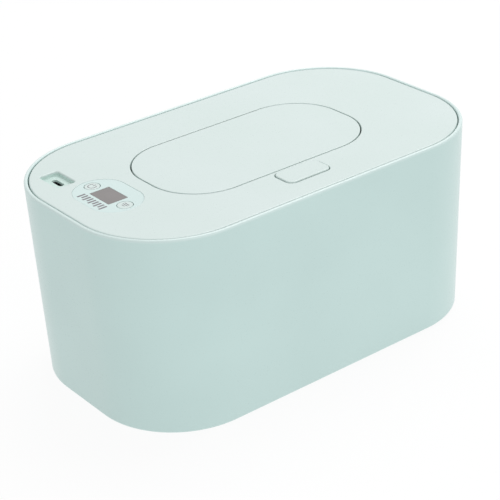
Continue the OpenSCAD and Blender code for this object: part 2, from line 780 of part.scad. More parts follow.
module display_module() {
  color("#d8d9d6") translate([window_x, window_y, 0]) difference() {
    window_block(0, z_top, z_window);
    for (s = [-1, 1]) translate([0, s * window_l / 4, z_window - 0.5])
      digit(window_l / 2 - 3, window_w - 3.4, cut);
  }
}

// The block behind the window, with its lips taken in by some distance
module window_block(inset, low, high) {
  half = [window_w, window_l] / 2 + window_lip - [inset, inset];
  block([-half.x, -half.y, low], [half.x, half.y, high]);
}

// A seven-segment digit that reads from the lid's left end
module digit(w, h, t) {
  bar = 1;
  side = (h - bar) / 2 - bar - 0.3;
  linear_extrude(t) {
    for (x = [-1, 0, 1]) translate([x * (h - bar) / 2, 0]) square([bar, w - bar - 0.6], center = true);
    for (x = [-1, 1], y = [-1, 1]) translate([x * (h - bar) / 4, y * (w - bar) / 2])
      square([side, bar], center = true);
  }
}

module display_window() {
  face = z_lid - control_drop + overlay_t;
  color("#96908d") translate([window_x, window_y, 0]) {
    translate([0, 0, z_panel - cut / 2]) linear_extrude(face - z_panel + cut / 2)
      rounded(window_w, window_l, 0.4);
    window_block(slack, z_window, z_panel);
  }
}

module control_overlay() {
  color("#e2edea") translate([0, 0, z_lid - control_drop]) linear_extrude(overlay_t) difference() {
    translate([control_x, control_y]) control_oval(0);
    translate([window_x, window_y]) rounded(window_w + slack, window_l + slack, 0.5);
    at_keys() circle(key_r + key_gap);
  }
}

module switch_housings() {
  color("#2a2b2d") at_keys() translate([0, 0, z_top]) difference() {
    translate([-switch_w / 2, -switch_w / 2, 0]) cube([switch_w, switch_w, switch_h]);
    translate([0, 0, 1.3]) cylinder(r = 1.75, h = switch_h);
  }
}

plunger_top = z_top + switch_h + 0.85;

// A key cap, held under the plate by its flange, with its stem on the switch's plunger
module key_cap(side) {
  color("#dfeae7") translate([window_x, control_y + side * key_off, 0]) {
    translate([0, 0, z_panel - 0.6])
      cylinder(r = key_r, h = z_lid - control_drop + overlay_t - z_panel + 0.6);
    translate([0, 0, z_panel - 1.2]) cylinder(r = key_r + 1.1, h = 1.1);
    translate([0, 0, plunger_top]) cylinder(r = 1.5, h = z_panel - 1 - plunger_top);
  }
}

module plunger(side) {
  low = z_top + switch_h - 1.55;
  color("#b98f3a") translate([window_x, control_y + side * key_off, low])
    cylinder(r = 1.6, h = plunger_top - low);
}

module power_key() { key_cap(1); }
module mode_key() { key_cap(-1); }
module power_plunger() { plunger(1); }
module mode_plunger() { plunger(-1); }

z_mouth = z_lid - pocket_h - pocket_t - 0.1;

module socket_shell() {
  color(steel) translate([port_x, port_y, z_top]) difference() {
    linear_extrude(z_mouth - z_top) rounded(port_w, port_l, 1.4);
    translate([0, 0, 0.4]) linear_extrude(z_mouth - z_top) rounded(port_w - 0.6, port_l - 0.6, 1.1);
  }
}

module socket_tongue() {
  color("#1f2022") translate([port_x, port_y, z_top + 0.4]) {
    linear_extrude(1.6) rounded(port_w - 0.7, port_l - 0.7, 1.05);
    translate([-0.35, -3.35, 1]) cube([0.7, 6.7, z_mouth - z_top - 2.2]);
  }
}

// ---- latch ----

module latch_button() {
  skirt = 1.2;
  top = z_lid + button_up;
  rest = z_panel - button_low;
  color(mint_light) translate([button_x, button_y, 0]) {
    difference() {
      union() {
        translate([0, 0, rest]) linear_extrude(top - rest) rounded(button_w, button_d, button_r);
        translate([0, -0.6, rest]) linear_extrude(button_low - 0.2)
          rounded(button_w + 2.4, button_d + 1.2, button_r + 1.2);
      }
      translate([0, 0, rest - cut]) linear_extrude(top - cap_t - rest + cut)
        rounded(button_w - 2 * skirt, button_d - 2 * skirt, button_r - skirt);
      block([-hook_w / 2 - 1, 0, rest - cut], [hook_w / 2 + 1, button_d, top - cap_t]);
    }
    translate([0, foot_y - button_y, crank_z + 3.2]) {
      rod(0.6, -4, 4);
      block([-4, -0.6, 0], [4, 0.6, top - cap_t + 0.2 - crank_z - 3.2]);
    }
  }
}

module latch_lever() {
  color("#e9ece9") at_crank() difference() {
    union() {
      rod(hub_r, -crank_w / 2, crank_w / 2);
      block([-5, -crank_arm - 1.7, 0.9], [5, 0, 2.5]);
      block([-hook_w / 2, -0.8, 0], [hook_w / 2, 0.8, hook_z - crank_z + hook_t]);
      block([-hook_w / 2, -0.8, hook_z - crank_z],
            [hook_w / 2, tongue_y - 0.15 - crank_y, hook_z - crank_z + hook_t]);
    }
    rod(pin_r + shaft_gap, -crank_w, crank_w);
  }
}

module lever_pin() {
  reach = crank_w / 2 + 0.3 + ear_t + 0.3;
  color(steel) at_crank() rod(pin_r, -reach, reach);
}

module latch_spring() {
  half = 0.25;
  color(steel) translate([button_x, foot_y, 0])
    wire(coil(1.9, 1.9, z_inside + half, crank_z + 0.9 - half, 5, 16), half);
}

// ---- door ----

// The space that the lid's edge sweeps past the door's rear edge as the door turns, wider where
// the edge bends forward round the door's corners
module hinge_sweep() {
  bend = r_open / 2;
  edge = [for (i = [0:12])
    let (u = bend * i / 12, back = pivot_back - door_gap + r_open - sqrt(r_open ^ 2 - u ^ 2))
    [norm([back, pivot_down]) + 0.15, door_core.x + u]];
  translate([door_x, pivot_y, pivot_z]) for (s = [0, 180]) rotate([0, 90 + s, 0]) rotate_extrude()
    polygon(concat([[0, 0], [edge[0].x, 0]], edge, [[0, door_core.x + bend]]));
}

module door_panel() {
  color(mint_light) difference() {
    at_door() slab(door_core, door_r, z_lid - door_t, z_lid);
    hinge_sweep();
  }
}

module door_inner() {
  border = 1.45;
  color(tank_white) {
    difference() {
      union() {
        at_door() slab(door_core, door_r - border, z_door, z_lid - door_t);
        translate([button_x, tongue_y, 0]) tongue();
      }
      hinge_sweep();
      at_door()
        ring(door_core, r_seat - seat_w / 2 - 0.1, r_seat + seat_w / 2 + 0.1, z_door - cut, z_door + 0.6);
    }
    at_hinges() gooseneck();
  }
}

// The tongue that the latch's hook holds, its nose towards the button
module tongue() {
  low = hook_z - 2;
  block([-hook_w / 2, 0, low], [hook_w / 2, tongue_t, z_door + 0.2]);
  translate([-hook_w / 2, 0, 0]) rotate([90, 0, 90]) linear_extrude(hook_w)
    polygon([[0.1, low], [0, low], [-nose, low + nose], [-nose, hook_z - 0.1], [0.1, hook_z - 0.1]]);
}

// An arm that goes down from its hub, round the lid's edge and up to the door
module gooseneck() {
  out = sweep_r + arm_t;
  difference() {
    union() {
      rod(hub_r, -arm_w / 2, arm_w / 2);
      translate([-arm_w / 2, 0, 0]) rotate([90, 0, 90]) linear_extrude(arm_w) {
        translate([-1, -out + 0.3]) square([2, out - 0.3]);
        difference() {
          circle(out);
          circle(sweep_r + 0.05);
          translate([0, -out - 1]) square([out + 1, 2 * out + 2]);
          translate([-out - 1, 0]) square([2 * out + 2, out + 1]);
        }
      }
      block([-arm_w / 2, -out - 3, -1], [arm_w / 2, -sweep_r - 0.05, z_door - pivot_z + 0.3]);
    }
    rod(pin_r + shaft_gap, -arm_w, arm_w);
  }
}

module door_seal() {
  color("#f7f8f6") at_door()
    ring(door_core, r_seat - seat_w / 2, r_seat + seat_w / 2, z_collar, z_door + 0.6);
}

module hinge_pins() {
  color(steel) at_hinges() rod(pin_r, -nest_in - ear_t, nest_out + ear_t);
}

// Torsion springs: one leg under the lid's plate, the other behind the arm
module hinge_springs() {
  mean = 1.6;
  half = 0.25;
  turns = 5;
  steps = 16;
  first = arm_w / 2 + 0.3 + half + 0.1;
  pitch = (wind_w - 2 * half - 0.4) / turns;
  path = concat(
    [[arm_w / 2 - 2.6, mean - 0.2, -4], [first, mean - 0.1, -4], [first, mean, -3.4]],
    [for (i = [0:turns * steps + steps / 4]) let (a = 360 * i / steps)
      [first + pitch * i / steps, mean * cos(a), mean * sin(a)]],
    [[first + pitch * (turns + 0.25), nest_back - 0.4, mean]]);
  color(steel) at_hinges() wire(path, half);
}

outer_shell();
inner_tank();
base_plate();
base_screws();
rubber_feet();
lift_tray();
lift_springs();
lid_panel();
lid_under_cover();
lid_screws();
tank_seal();
heat_plate();
plate_screws();
heating_film();
insulation_pad();
thermal_cutoff();
temperature_sensor();
heater_leads();
sensor_leads();
dispensing_insert();
control_board();
board_screws();
controller_chip();
power_transistors();
board_capacitors();
lead_connectors();
display_module();
display_window();
control_overlay();
switch_housings();
socket_shell();
socket_tongue();
power_key();
power_plunger();
mode_key();
mode_plunger();
latch_button();
latch_lever();
lever_pin();
latch_spring();
door_panel();
door_inner();
door_seal();
hinge_pins();
hinge_springs();
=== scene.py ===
import math

import bmesh
import bpy
import numpy as np
from mathutils import Matrix, Vector
from mathutils.geometry import delaunay_2d_cdt


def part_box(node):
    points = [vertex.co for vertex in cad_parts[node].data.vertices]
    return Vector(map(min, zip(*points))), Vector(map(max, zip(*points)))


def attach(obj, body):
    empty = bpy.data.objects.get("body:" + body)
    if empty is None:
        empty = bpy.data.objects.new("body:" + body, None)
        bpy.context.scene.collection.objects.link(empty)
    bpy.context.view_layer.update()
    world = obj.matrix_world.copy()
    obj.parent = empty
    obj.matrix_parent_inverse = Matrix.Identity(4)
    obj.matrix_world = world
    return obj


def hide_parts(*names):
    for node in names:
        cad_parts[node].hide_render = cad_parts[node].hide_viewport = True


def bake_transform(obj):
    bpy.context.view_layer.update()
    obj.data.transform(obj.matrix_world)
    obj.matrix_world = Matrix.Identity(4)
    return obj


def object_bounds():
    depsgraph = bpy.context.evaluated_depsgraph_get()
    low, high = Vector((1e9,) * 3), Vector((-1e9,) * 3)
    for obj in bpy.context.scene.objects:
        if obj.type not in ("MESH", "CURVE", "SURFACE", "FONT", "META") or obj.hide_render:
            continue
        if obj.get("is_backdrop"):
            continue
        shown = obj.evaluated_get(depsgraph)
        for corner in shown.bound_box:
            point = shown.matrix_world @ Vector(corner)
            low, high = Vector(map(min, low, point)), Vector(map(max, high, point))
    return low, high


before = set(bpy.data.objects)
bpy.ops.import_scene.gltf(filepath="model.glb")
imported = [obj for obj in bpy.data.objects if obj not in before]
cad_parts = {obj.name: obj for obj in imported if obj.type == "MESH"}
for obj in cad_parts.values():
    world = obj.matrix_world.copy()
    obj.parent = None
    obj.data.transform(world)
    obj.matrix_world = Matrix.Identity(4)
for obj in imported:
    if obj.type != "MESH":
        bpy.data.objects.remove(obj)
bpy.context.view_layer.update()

# ---- Camera ----
# A long lens looks at the tub's left front corner from a little above. The turn, the tilt and
# the shift of its aim are those at which the outline of the tub and lid fall on the photograph's.
mm = 0.001
picture_px = 500
focal_px = 1621
sensor = 36
turn, tilt, roll = np.radians([-36.74, 27.595, -3.174])
aim = np.array([0, 0, 61.0])
aim_right, aim_up = -1.433, -12.993
distance = 833.784

back = np.array([math.sin(turn) * math.cos(tilt), -math.cos(turn) * math.cos(tilt), math.sin(tilt)])
level = np.array([math.cos(turn), math.sin(turn), 0])
upward = np.cross(back, level)
right = level * math.cos(roll) + upward * math.sin(roll)
above = upward * math.cos(roll) - level * math.sin(roll)
place = aim + right * aim_right + above * aim_up + back * distance

lens = bpy.data.cameras.new("camera")
lens.sensor_width = sensor
lens.lens = focal_px / picture_px * sensor
lens.clip_start, lens.clip_end = 0.05, 20
camera = bpy.data.objects.new("camera", lens)
axes = Matrix(np.stack([right, above, back], 1).tolist()).to_4x4()
camera.matrix_world = Matrix.Translation(place * mm) @ axes
bpy.context.scene.collection.objects.link(camera)
bpy.context.scene.camera = camera
bpy.context.scene.view_settings.view_transform = "Standard"


# ---- Table, room and lamps ----
# A white table lit from below, in a light tent. Its paper shows white to the lens and in
# reflections, and still takes the tub's soft shadow.
def linear(code):
    """Linear colour of an sRGB hex value: c / 12.92 up to 0.04045, else ((c + 0.055) / 1.055) ^ 2.4."""
    c = np.array([int(code[i:i + 2], 16) for i in (1, 3, 5)]) / 255
    c = np.where(c <= 0.04045, c / 12.92, ((c + 0.055) / 1.055) ** 2.4)
    return (*c, 1)


def add(tree, kind, inputs=(), **settings):
    """Adds a node, sets its settings, and sets or links its inputs, given by name or number."""
    node = tree.nodes.new(kind)
    for name, value in settings.items():
        setattr(node, name, value)
    for name, value in dict(inputs).items():
        if isinstance(value, bpy.types.NodeSocket):
            tree.links.new(value, node.inputs[name])
        else:
            node.inputs[name].default_value = value
    return node


def blank_material(name):
    """A new material and its emptied node tree."""
    material = bpy.data.materials.new(name)
    material.use_nodes = True
    material.node_tree.nodes.clear()
    return material, material.node_tree


def seen_by_lens(tree):
    """1 on rays from the lens, from a mirror or through glass, else 0."""
    path = add(tree, "ShaderNodeLightPath").outputs
    some = add(tree, "ShaderNodeMath", {0: path["Is Camera Ray"], 1: path["Is Glossy Ray"]},
               operation="MAXIMUM")
    return add(tree, "ShaderNodeMath", {0: some.outputs[0], 1: path["Is Transmission Ray"]},
               operation="MAXIMUM").outputs[0]


room_light = 0.62
paper_white = 0.91  # share of the paper's light from below in what the lens sees
paper_glow = 0.8  # the same in what falls on the tub

world = bpy.data.worlds.new("tent")
bpy.context.scene.world = world
world.use_nodes = True
tree = world.node_tree
tree.nodes.clear()
lit = add(tree, "ShaderNodeBackground", {"Color": linear("#ffffff"), "Strength": room_light})
seen = add(tree, "ShaderNodeBackground", {"Color": linear("#ffffff"), "Strength": 1.0})
mixed = add(tree, "ShaderNodeMixShader", {0: seen_by_lens(tree), 1: lit.outputs[0], 2: seen.outputs[0]})
add(tree, "ShaderNodeOutputWorld", {0: mixed.outputs[0]})

paper, tree = blank_material("white_paper")
sheen = add(tree, "ShaderNodeBsdfDiffuse", {"Color": linear("#f6f6f6")})
white = add(tree, "ShaderNodeEmission", {"Color": linear("#ffffff"), "Strength": 1.0})
share = add(tree, "ShaderNodeMapRange", {0: seen_by_lens(tree), 3: paper_glow, 4: paper_white})
mixed = add(tree, "ShaderNodeMixShader", {0: share.outputs[0], 1: sheen.outputs[0], 2: white.outputs[0]})
under = add(tree, "ShaderNodeNewGeometry").outputs["Backfacing"]  # from below the table is clear
clear = add(tree, "ShaderNodeBsdfTransparent")
mixed = add(tree, "ShaderNodeMixShader", {0: under, 1: mixed.outputs[0], 2: clear.outputs[0]})
add(tree, "ShaderNodeOutputMaterial", {0: mixed.outputs[0]})

table_half = 3.0
table_mesh = bpy.data.meshes.new("table")
corners = np.array([[-1, -1, 0], [1, -1, 0], [1, 1, 0], [-1, 1, 0]]) * table_half
table_mesh.from_pydata(corners.tolist(), [], [(0, 1, 2, 3)])
table_mesh.materials.append(paper)
table = bpy.data.objects.new("table", table_mesh)
bpy.context.scene.collection.objects.link(table)
table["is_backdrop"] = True

for name, spot, size, power in [("front_softbox", (-0.1, -1.7, 0.5), 1.6, 7.3),
                                ("top_softbox", (0.8, 0.35, 1.7), 1.6, 20.0),
                                ("side_softbox", (-1.9, 0.2, 0.5), 1.2, 1.4)]:
    lamp = bpy.data.lights.new(name, "AREA")
    lamp.shape, lamp.size, lamp.energy = "DISK", size, power
    holder = bpy.data.objects.new(name, lamp)
    holder.location = spot
    holder.rotation_euler = (Vector((0, 0, 0.05)) - Vector(spot)).to_track_quat("-Z", "Y").to_euler()
    bpy.context.scene.collection.objects.link(holder)


# ---- Outer shell ----
# One deep moulding of satin ABS: drafted sides, a small radius round the foot and a thin lip
# round the lid. The tank's flange sits on its shelf and the base plate clamps it from below.
def outline(core, steps=24, rear=(), front=()):
    """Base points and directions of a rounded outline, anticlockwise. A point of the outline is
    base + radius * direction. rear and front are more stops along the straight rear and front."""
    bases, ways = [], []
    for i, (sx, sy) in enumerate([(1, 1), (-1, 1), (-1, -1), (1, -1)]):
        angle = np.linspace(i, i + 1, steps + 1) * math.pi / 2
        bases.append(np.tile([sx * core[0], sy * core[1]], (steps + 1, 1)))
        ways.append(np.stack([np.cos(angle), np.sin(angle)], 1))
        stops = {0: sorted(rear, reverse=True), 2: sorted(front)}.get(i, ())
        for x in stops:
            bases.append([[x, sy * core[1]]])
            ways.append([[0, sy]])
    return np.concatenate(bases).astype(float), np.concatenate(ways).astype(float)


def grid(points, round_u=False, round_v=False, keep=None):
    """Four-sided faces of an n by m grid of points. A round direction joins its last row to its
    first. keep says, for each face of the grid, whether it stays."""
    n, m = points.shape[:2]
    a, b = np.meshgrid(np.arange(n - (not round_u)), np.arange(m - (not round_v)), indexing="ij")
    if keep is not None:
        a, b = a[keep], b[keep]
    c, d = (a + 1) % n, (b + 1) % m
    faces = np.stack([a * m + b, c * m + b, c * m + d, a * m + d], -1).reshape(-1, 4)
    return points.reshape(-1, 3), faces


def carried(line, profile, at=(0, 0), closed=False, cuts=()):
    """A profile of (radius, height) points carried along an outline: P(i, j) lies at
    at + base_i + radius_j * direction_i, at height_j. Upward stretches face outwards and downward
    ones inwards. Each cut, (x0, x1, side, z0, z1), opens the wall on the rear or front side."""
    base, way = line
    radius, height = np.array(profile, float).T
    xy = np.asarray(at) + base[:, None] + radius[None, :, None] * way[:, None]
    points = np.dstack([xy, np.broadcast_to(height, xy.shape[:2])])
    keep = np.ones((len(base), len(radius) - (not closed)), bool)
    after, next_z = np.roll(points, -1, 0), np.roll(height, -1)
    for x0, x1, side, z0, z1 in cuts:
        x, y = (points[..., 0] + after[..., 0]) / 2, way[:, None, 1]
        between = (x > x0) & (x < x1) & (y * side > 0.99) & (np.roll(y, -1, 0) * side > 0.99)
        z = (height + next_z) / 2
        keep &= ~(between & ((z > z0) & (z < z1))[None])[:, :keep.shape[1]]
    return grid(points, True, closed, keep)


def loop(line, radius, at=(0, 0)):
    """The points of an outline at a radius, without repeats."""
    points = np.asarray(at) + line[0] + radius * line[1]
    return points[np.linalg.norm(points - np.roll(points, 1, 0), axis=1) > 1e-5]


def inside(points, ring):
    """Which points lie inside a ring: a ray along +X crosses its sides an odd number of times."""
    a, b = ring, np.roll(ring, -1, 0)
    y = points[:, None, 1]
    spans = (a[:, 1] > y) != (b[:, 1] > y)
    rise = np.where(b[:, 1] == a[:, 1], 1, b[:, 1] - a[:, 1])
    x = a[:, 0] + (y - a[:, 1]) / rise * (b[:, 0] - a[:, 0])
    return (spans & (points[:, None, 0] < x)).sum(1) % 2 == 1


def sheet(z, rim, holes=(), up=True):
    """Flat face at height z, inside the rim and outside the holes: Delaunay triangles on just the
    points of those rings, so that walls carried along the same outlines meet it."""
    rings = [rim, *holes]
    first = np.cumsum([0] + [len(r) for r in rings])
    sides = [(f + i, f + (i + 1) % len(r)) for f, r in zip(first, rings) for i in range(len(r))]
    points = [Vector(p) for r in rings for p in r]
    flat, _, faces = delaunay_2d_cdt(points, sides, [], 1, 1e-6)[:3]
    flat, faces = np.array([p[:] for p in flat]), np.array(faces)
    middle = flat[faces].mean(1)
    faces = faces[~np.any([inside(middle, h) for h in holes] + [np.zeros(len(faces), bool)], 0)]
    p, q, r = flat[faces].swapaxes(0, 1)
    area = np.cross(np.pad(q - p, ((0, 0), (0, 1))), np.pad(r - p, ((0, 0), (0, 1))))[:, 2]
    faces = np.where(((area > 0) == up)[:, None], faces, faces[:, ::-1])
    return np.column_stack([flat, np.full(len(flat), z)]), faces


def bend(centre, radius, start, end, steps=6):
    """Points of an arc of a profile, from one angle to another in degrees."""
    angle = np.radians(np.linspace(start, end, steps + 1))
    return [(centre[0] + radius * math.cos(a), centre[1] + radius * math.sin(a)) for a in angle]


def piece(name, surfaces, material, body, nodes=(), sharp=40):
    """One piece from surfaces in millimetres. Points that meet are merged, edges sharper than an
    angle stay sharp, and large faces set the shading of the rounds beside them."""
    mesh = bpy.data.meshes.new(name)
    first = np.cumsum([0] + [len(p) for p, _ in surfaces])
    points = np.concatenate([p for p, _ in surfaces]) * mm
    faces = [[int(v + f) for v in face] for f, (_, fs) in zip(first, surfaces) for face in fs]
    mesh.from_pydata(points.tolist(), [], faces)
    work = bmesh.new()
    work.from_mesh(mesh)
    bmesh.ops.remove_doubles(work, verts=work.verts, dist=2e-6)
    bmesh.ops.dissolve_degenerate(work, edges=work.edges, dist=1e-7)
    work.to_mesh(mesh)
    work.free()
    mesh.shade_smooth()
    mesh.set_sharp_from_angle(angle=math.radians(sharp))
    mesh.materials.append(material)
    thing = bpy.data.objects.new(name, mesh)
    bpy.context.scene.collection.objects.link(thing)
    weigh = thing.modifiers.new("weighted_normals", "WEIGHTED_NORMAL")
    weigh.keep_sharp = True
    if body:
        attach(thing, body)
    if nodes:
        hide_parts(*nodes)
    return thing


def grained(tree, place, grain, rough, spread, relief, depth):
    """Roughness and fine relief from one noise, its grains that many millimetres wide. Roughness
    wanders by a share of itself, and the relief is depth millimetres deep at strength 1."""
    grains = add(tree, "ShaderNodeTexNoise", {"Vector": place, "Scale": 1 / (grain * mm), "Detail": 3.0})
    matt = add(tree, "ShaderNodeMapRange", {0: grains.outputs[0], 1: 0.3, 2: 0.7,
                                            3: rough * (1 - spread), 4: rough * (1 + spread)})
    bump = add(tree, "ShaderNodeBump", {
        "Height": grains.outputs[0], "Strength": relief, "Distance": depth * mm})
    return {"Roughness": matt.outputs[0], "Normal": bump.outputs[0]}


def moulded(name, colours, ior, rough, grain, relief, drift=60):
    """A moulded plastic. Its tone wanders between two close colours over drift millimetres, and
    the mould's own texture, of grains that many millimetres wide, gives it a fine relief."""
    material, tree = blank_material(name)
    place = add(tree, "ShaderNodeTexCoord").outputs["Object"]
    cloud = add(tree, "ShaderNodeTexNoise", {"Vector": place, "Scale": 1 / (drift * mm), "Detail": 2.0})
    tone = add(tree, "ShaderNodeValToRGB", {0: cloud.outputs[0]})
    tone.color_ramp.elements[0].position, tone.color_ramp.elements[1].position = 0.35, 0.65
    tone.color_ramp.elements[0].color, tone.color_ramp.elements[1].color = map(linear, colours)
    finish = grained(tree, place, grain, rough, 0.1, relief, 0.05)
    skin = add(tree, "ShaderNodeBsdfPrincipled", {"Base Color": tone.outputs[0], "IOR": ior, **finish})
    add(tree, "ShaderNodeOutputMaterial", {0: skin.outputs[0]})
    return material


# Satin ABS from a spark-eroded mould: a soft sheen and a grain of about 0.4 mm, here 0.6 mm so
# that it shows at all
mint_abs = moulded("satin_mint_abs", ("#bed6d3", "#c1d9d6"), 1.53, 0.3, 0.6, 0.2)

corner_r = 49.3
shell_low, shell_high = np.array(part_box("outer_shell")) / mm
core = shell_high[:2] - corner_r
z_case, z_rim = shell_low[2], shell_high[2]
draft, wall, rim_t = 2.9, 2.4, 2
rim_round, lip_round, foot_round = 1.1, 0.8, 1.6
# depth over which the lip's painted highlight fades in, in millimetres
lip_highlight_depth = 1.6
r_foot, r_lip = corner_r - draft, corner_r - rim_t
tank_flange_t, r_shelf, shelf_t, shelf_drop = 2, 43.4, 1.2, 5.4
z_ledge = np.array(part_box("inner_tank"))[1, 2] / mm
z_seat = z_ledge - tank_flange_t
base_t, clamp_w, clamp_t = 2.2, 3, 2
z_base = z_case + base_t
r_clamp, z_clamp = r_foot - wall - clamp_w, z_base + clamp_t
round_tub = outline(core, 40)


def change_tone(material, z0, z1, code):
    """Turns a plastic's tone to another colour, evenly from none of it at height z0 to all of it
    at z1, both in millimetres."""
    tree = material.node_tree
    place = add(tree, "ShaderNodeTexCoord").outputs["Object"]
    height = add(tree, "ShaderNodeSeparateXYZ", {0: place}).outputs["Z"]
    share = add(tree, "ShaderNodeMapRange", {0: height, 1: z0 * mm, 2: z1 * mm})
    skin = next(n for n in tree.nodes if n.type == "BSDF_PRINCIPLED")
    own = skin.inputs["Base Color"].links[0].from_socket
    tone = add(tree, "ShaderNodeMix", {"Factor": share.outputs[0], 6: own, 7: linear(code)},
               data_type="RGBA")
    tree.links.new(tone.outputs[2], skin.inputs["Base Color"])


# Painted highlight: the lip's last millimetres are painted paler than the walls, standing in for the light
# that the rounded rim catches from above
change_tone(mint_abs, z_rim - lip_highlight_depth, z_rim, "#d1e1df")


def shell_r(z):
    """Outside radius of the shell at a height: it shrinks by the draft from rim to foot."""
    return corner_r - draft * (z_rim - z) / (z_rim - z_case)


shell_profile = [
    *bend((r_foot - foot_round, z_case + foot_round), foot_round, -90, -2, 8),
    *bend((corner_r - rim_round, z_rim - rim_round), rim_round, 0, 90, 8),
    *bend((r_lip + lip_round, z_rim - lip_round), lip_round, 90, 180, 4),
    (r_lip, z_seat), (r_shelf, z_seat), (r_shelf, z_seat - shelf_t),
    (shell_r(z_seat - shelf_drop) - wall, z_seat - shelf_drop), (shell_r(z_clamp) - wall, z_clamp),
    (r_clamp, z_clamp), (r_clamp, z_base), (r_foot - wall, z_base), (r_foot - wall, z_case)]
piece("outer_shell_body", [carried(round_tub, shell_profile, closed=True)], mint_abs, "tub",
      ["outer_shell"])


# ---- Inner tank ----
# White polypropylene box moulding that hangs from its flange on the shell's shelf, with a round
# seat for each lift spring. A copy of the construction mesh, smoothed.
def dressed(name, node, material, body, ease=0.0, sharp=35):
    """A copy of a construction node's mesh: points merged, flat neighbours joined into one face,
    curved faces shaded smooth, and edges sharper than an angle rounded over ease millimetres."""
    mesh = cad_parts[node].data.copy()
    mesh.name = name
    work = bmesh.new()
    work.from_mesh(mesh)
    bmesh.ops.remove_doubles(work, verts=work.verts, dist=1e-6)
    bmesh.ops.dissolve_limit(work, angle_limit=math.radians(0.5), verts=work.verts, edges=work.edges)
    work.to_mesh(mesh)
    work.free()
    mesh.materials.clear()
    mesh.materials.append(material)
    mesh.shade_smooth()
    mesh.set_sharp_from_angle(angle=math.radians(sharp))
    thing = bpy.data.objects.new(name, mesh)
    bpy.context.scene.collection.objects.link(thing)
    if ease:
        bevel = thing.modifiers.new("eased_edges", "BEVEL")
        bevel.width, bevel.segments = ease * mm, 2
        bevel.limit_method, bevel.angle_limit = "ANGLE", math.radians(sharp + 5)
        bevel.use_clamp_overlap = True
    weigh = thing.modifiers.new("weighted_normals", "WEIGHTED_NORMAL")
    weigh.keep_sharp = True
    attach(thing, body)
    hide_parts(node)
    return thing


# Glossy-white PP, a little waxy: low relief, broad sheen
white_pp = moulded("moulded_white_polypropylene", ("#eceeea", "#f0f2ee"), 1.49, 0.42, 0.8, 0.12)
dressed("inner_tank_body", "inner_tank", white_pp, "tub")


# ---- Base plate, screws and feet ----
# The tub's floor, in the shell's own ABS, clamped by four cross-head screws in deep wells. Four
# soft rubber feet sit glued in round seats.
dressed("base_plate_body", "base_plate", mint_abs, "tub")


def metal(name, colour, rough, grain, relief, stretch=(1, 1, 1)):
    """A bare or plated metal. A noise of grains that many millimetres wide, stretched along an
    axis for a drawn or brushed finish, varies its roughness and gives it fine relief."""
    material, tree = blank_material(name)
    place = add(tree, "ShaderNodeTexCoord").outputs["Object"]
    drawn = add(tree, "ShaderNodeMapping", {"Vector": place, "Scale": stretch}).outputs[0]
    finish = grained(tree, drawn, grain, rough, 0.25, relief, 0.02)
    skin = add(tree, "ShaderNodeBsdfPrincipled", {"Base Color": linear(colour), "Metallic": 1.0, **finish})
    add(tree, "ShaderNodeOutputMaterial", {0: skin.outputs[0]})
    return material


# Bright zinc on steel: silvery with a faint blue, slightly matt
zinc_steel = metal("zinc_plated_steel", "#c3c8ce", 0.34, 0.5, 0.3)
dressed("base_screws_zinc", "base_screws", zinc_steel, "tub", 0.12)

# Moulded rubber: dark grey and nearly matt, with a fine pebbled skin
grey_rubber = moulded("moulded_grey_rubber", ("#4a4c4d", "#525455"), 1.52, 0.75, 0.5, 0.5, 8)
round_way = np.arange(96) / 48 * math.pi
dot = (np.zeros((96, 2)), np.stack([np.cos(round_way), np.sin(round_way)], 1))
feet_high = np.array(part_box("rubber_feet"))[1] / mm
foot_r, foot_edge = 7, 0.5
feet = []
for sx in (-1, 1):
    for sy in (-1, 1):
        spot = np.array([sx, sy]) * (feet_high[:2] - foot_r)
        feet += [carried(dot, [*bend((foot_r - foot_edge, foot_edge), foot_edge, -90, 0),
                               (foot_r, feet_high[2])], spot),
                 sheet(0, loop(dot, foot_r - foot_edge, spot), up=False),
                 sheet(feet_high[2], loop(dot, foot_r, spot))]
piece("rubber_feet_round", feet, grey_rubber, "tub", ["rubber_feet"])


# ---- Lift springs ----
# Four conical springs of plain steel wire stand in the tank's seats and push the tray, and the
# wipes on it, up against the heat plate. Each turn drops inside the one below it.
def swept(rows):
    """A closed section carried from row to row of points, anticlockwise as seen from before the
    first row, with both ends closed."""
    points, faces = grid(rows, round_v=True)
    n = rows.shape[1]
    return points, [*faces.tolist(), tuple(range(n)), tuple(range(len(points) - n, len(points)))[::-1]]


def spring(bottom, top, z0, z1, turns, wire, at, flat=0.75, sides=10, steps=40):
    """A coil with flat ends: its angle runs evenly, and over the middle turns its height goes
    from z0 to z1 while its radius goes from bottom to top. Rings of points stand square to it."""
    t = np.linspace(0, turns, int(turns * steps) + 1)
    u = np.clip((t - flat) / (turns - 2 * flat), 0, 1)
    r, angle = bottom + (top - bottom) * u, 2 * math.pi * t
    way = np.stack([np.cos(angle), np.sin(angle), 0 * t], 1)
    path = way * r[:, None] + np.stack([0 * t, 0 * t, z0 + (z1 - z0) * u], 1)
    along = np.gradient(path, axis=0)
    along /= np.linalg.norm(along, axis=1)[:, None]
    side = np.cross(along, way)
    side /= np.linalg.norm(side, axis=1)[:, None]
    out = np.cross(side, along)
    a = np.linspace(0, 2 * math.pi, sides, endpoint=False)[None, :, None]
    circle = np.cos(a) * out[:, None] - np.sin(a) * side[:, None]
    return swept((path + [*at, 0])[:, None] + wire / 2 * circle)


# Drawn spring wire: grey, smooth, lightly oiled
spring_steel = metal("drawn_spring_steel", "#a9adb2", 0.3, 0.3, 0.2)
springs_low, springs_high = np.array(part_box("lift_springs")) / mm
lift_wire, lift_turns = 1.2, 5.5
spring_wide, spring_narrow = 15, 9
spring_spot = springs_high[:2] - spring_wide - lift_wire / 2
coils = [spring(spring_wide, spring_narrow, springs_low[2] + lift_wire / 2, springs_high[2] - lift_wire / 2,
                lift_turns, lift_wire, spring_spot * [sx, sy]) for sx in (-1, 1) for sy in (-1, 1)]
lift_coils = piece("lift_spring_coils", coils, spring_steel, None, ["lift_springs"])
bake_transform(lift_coils)


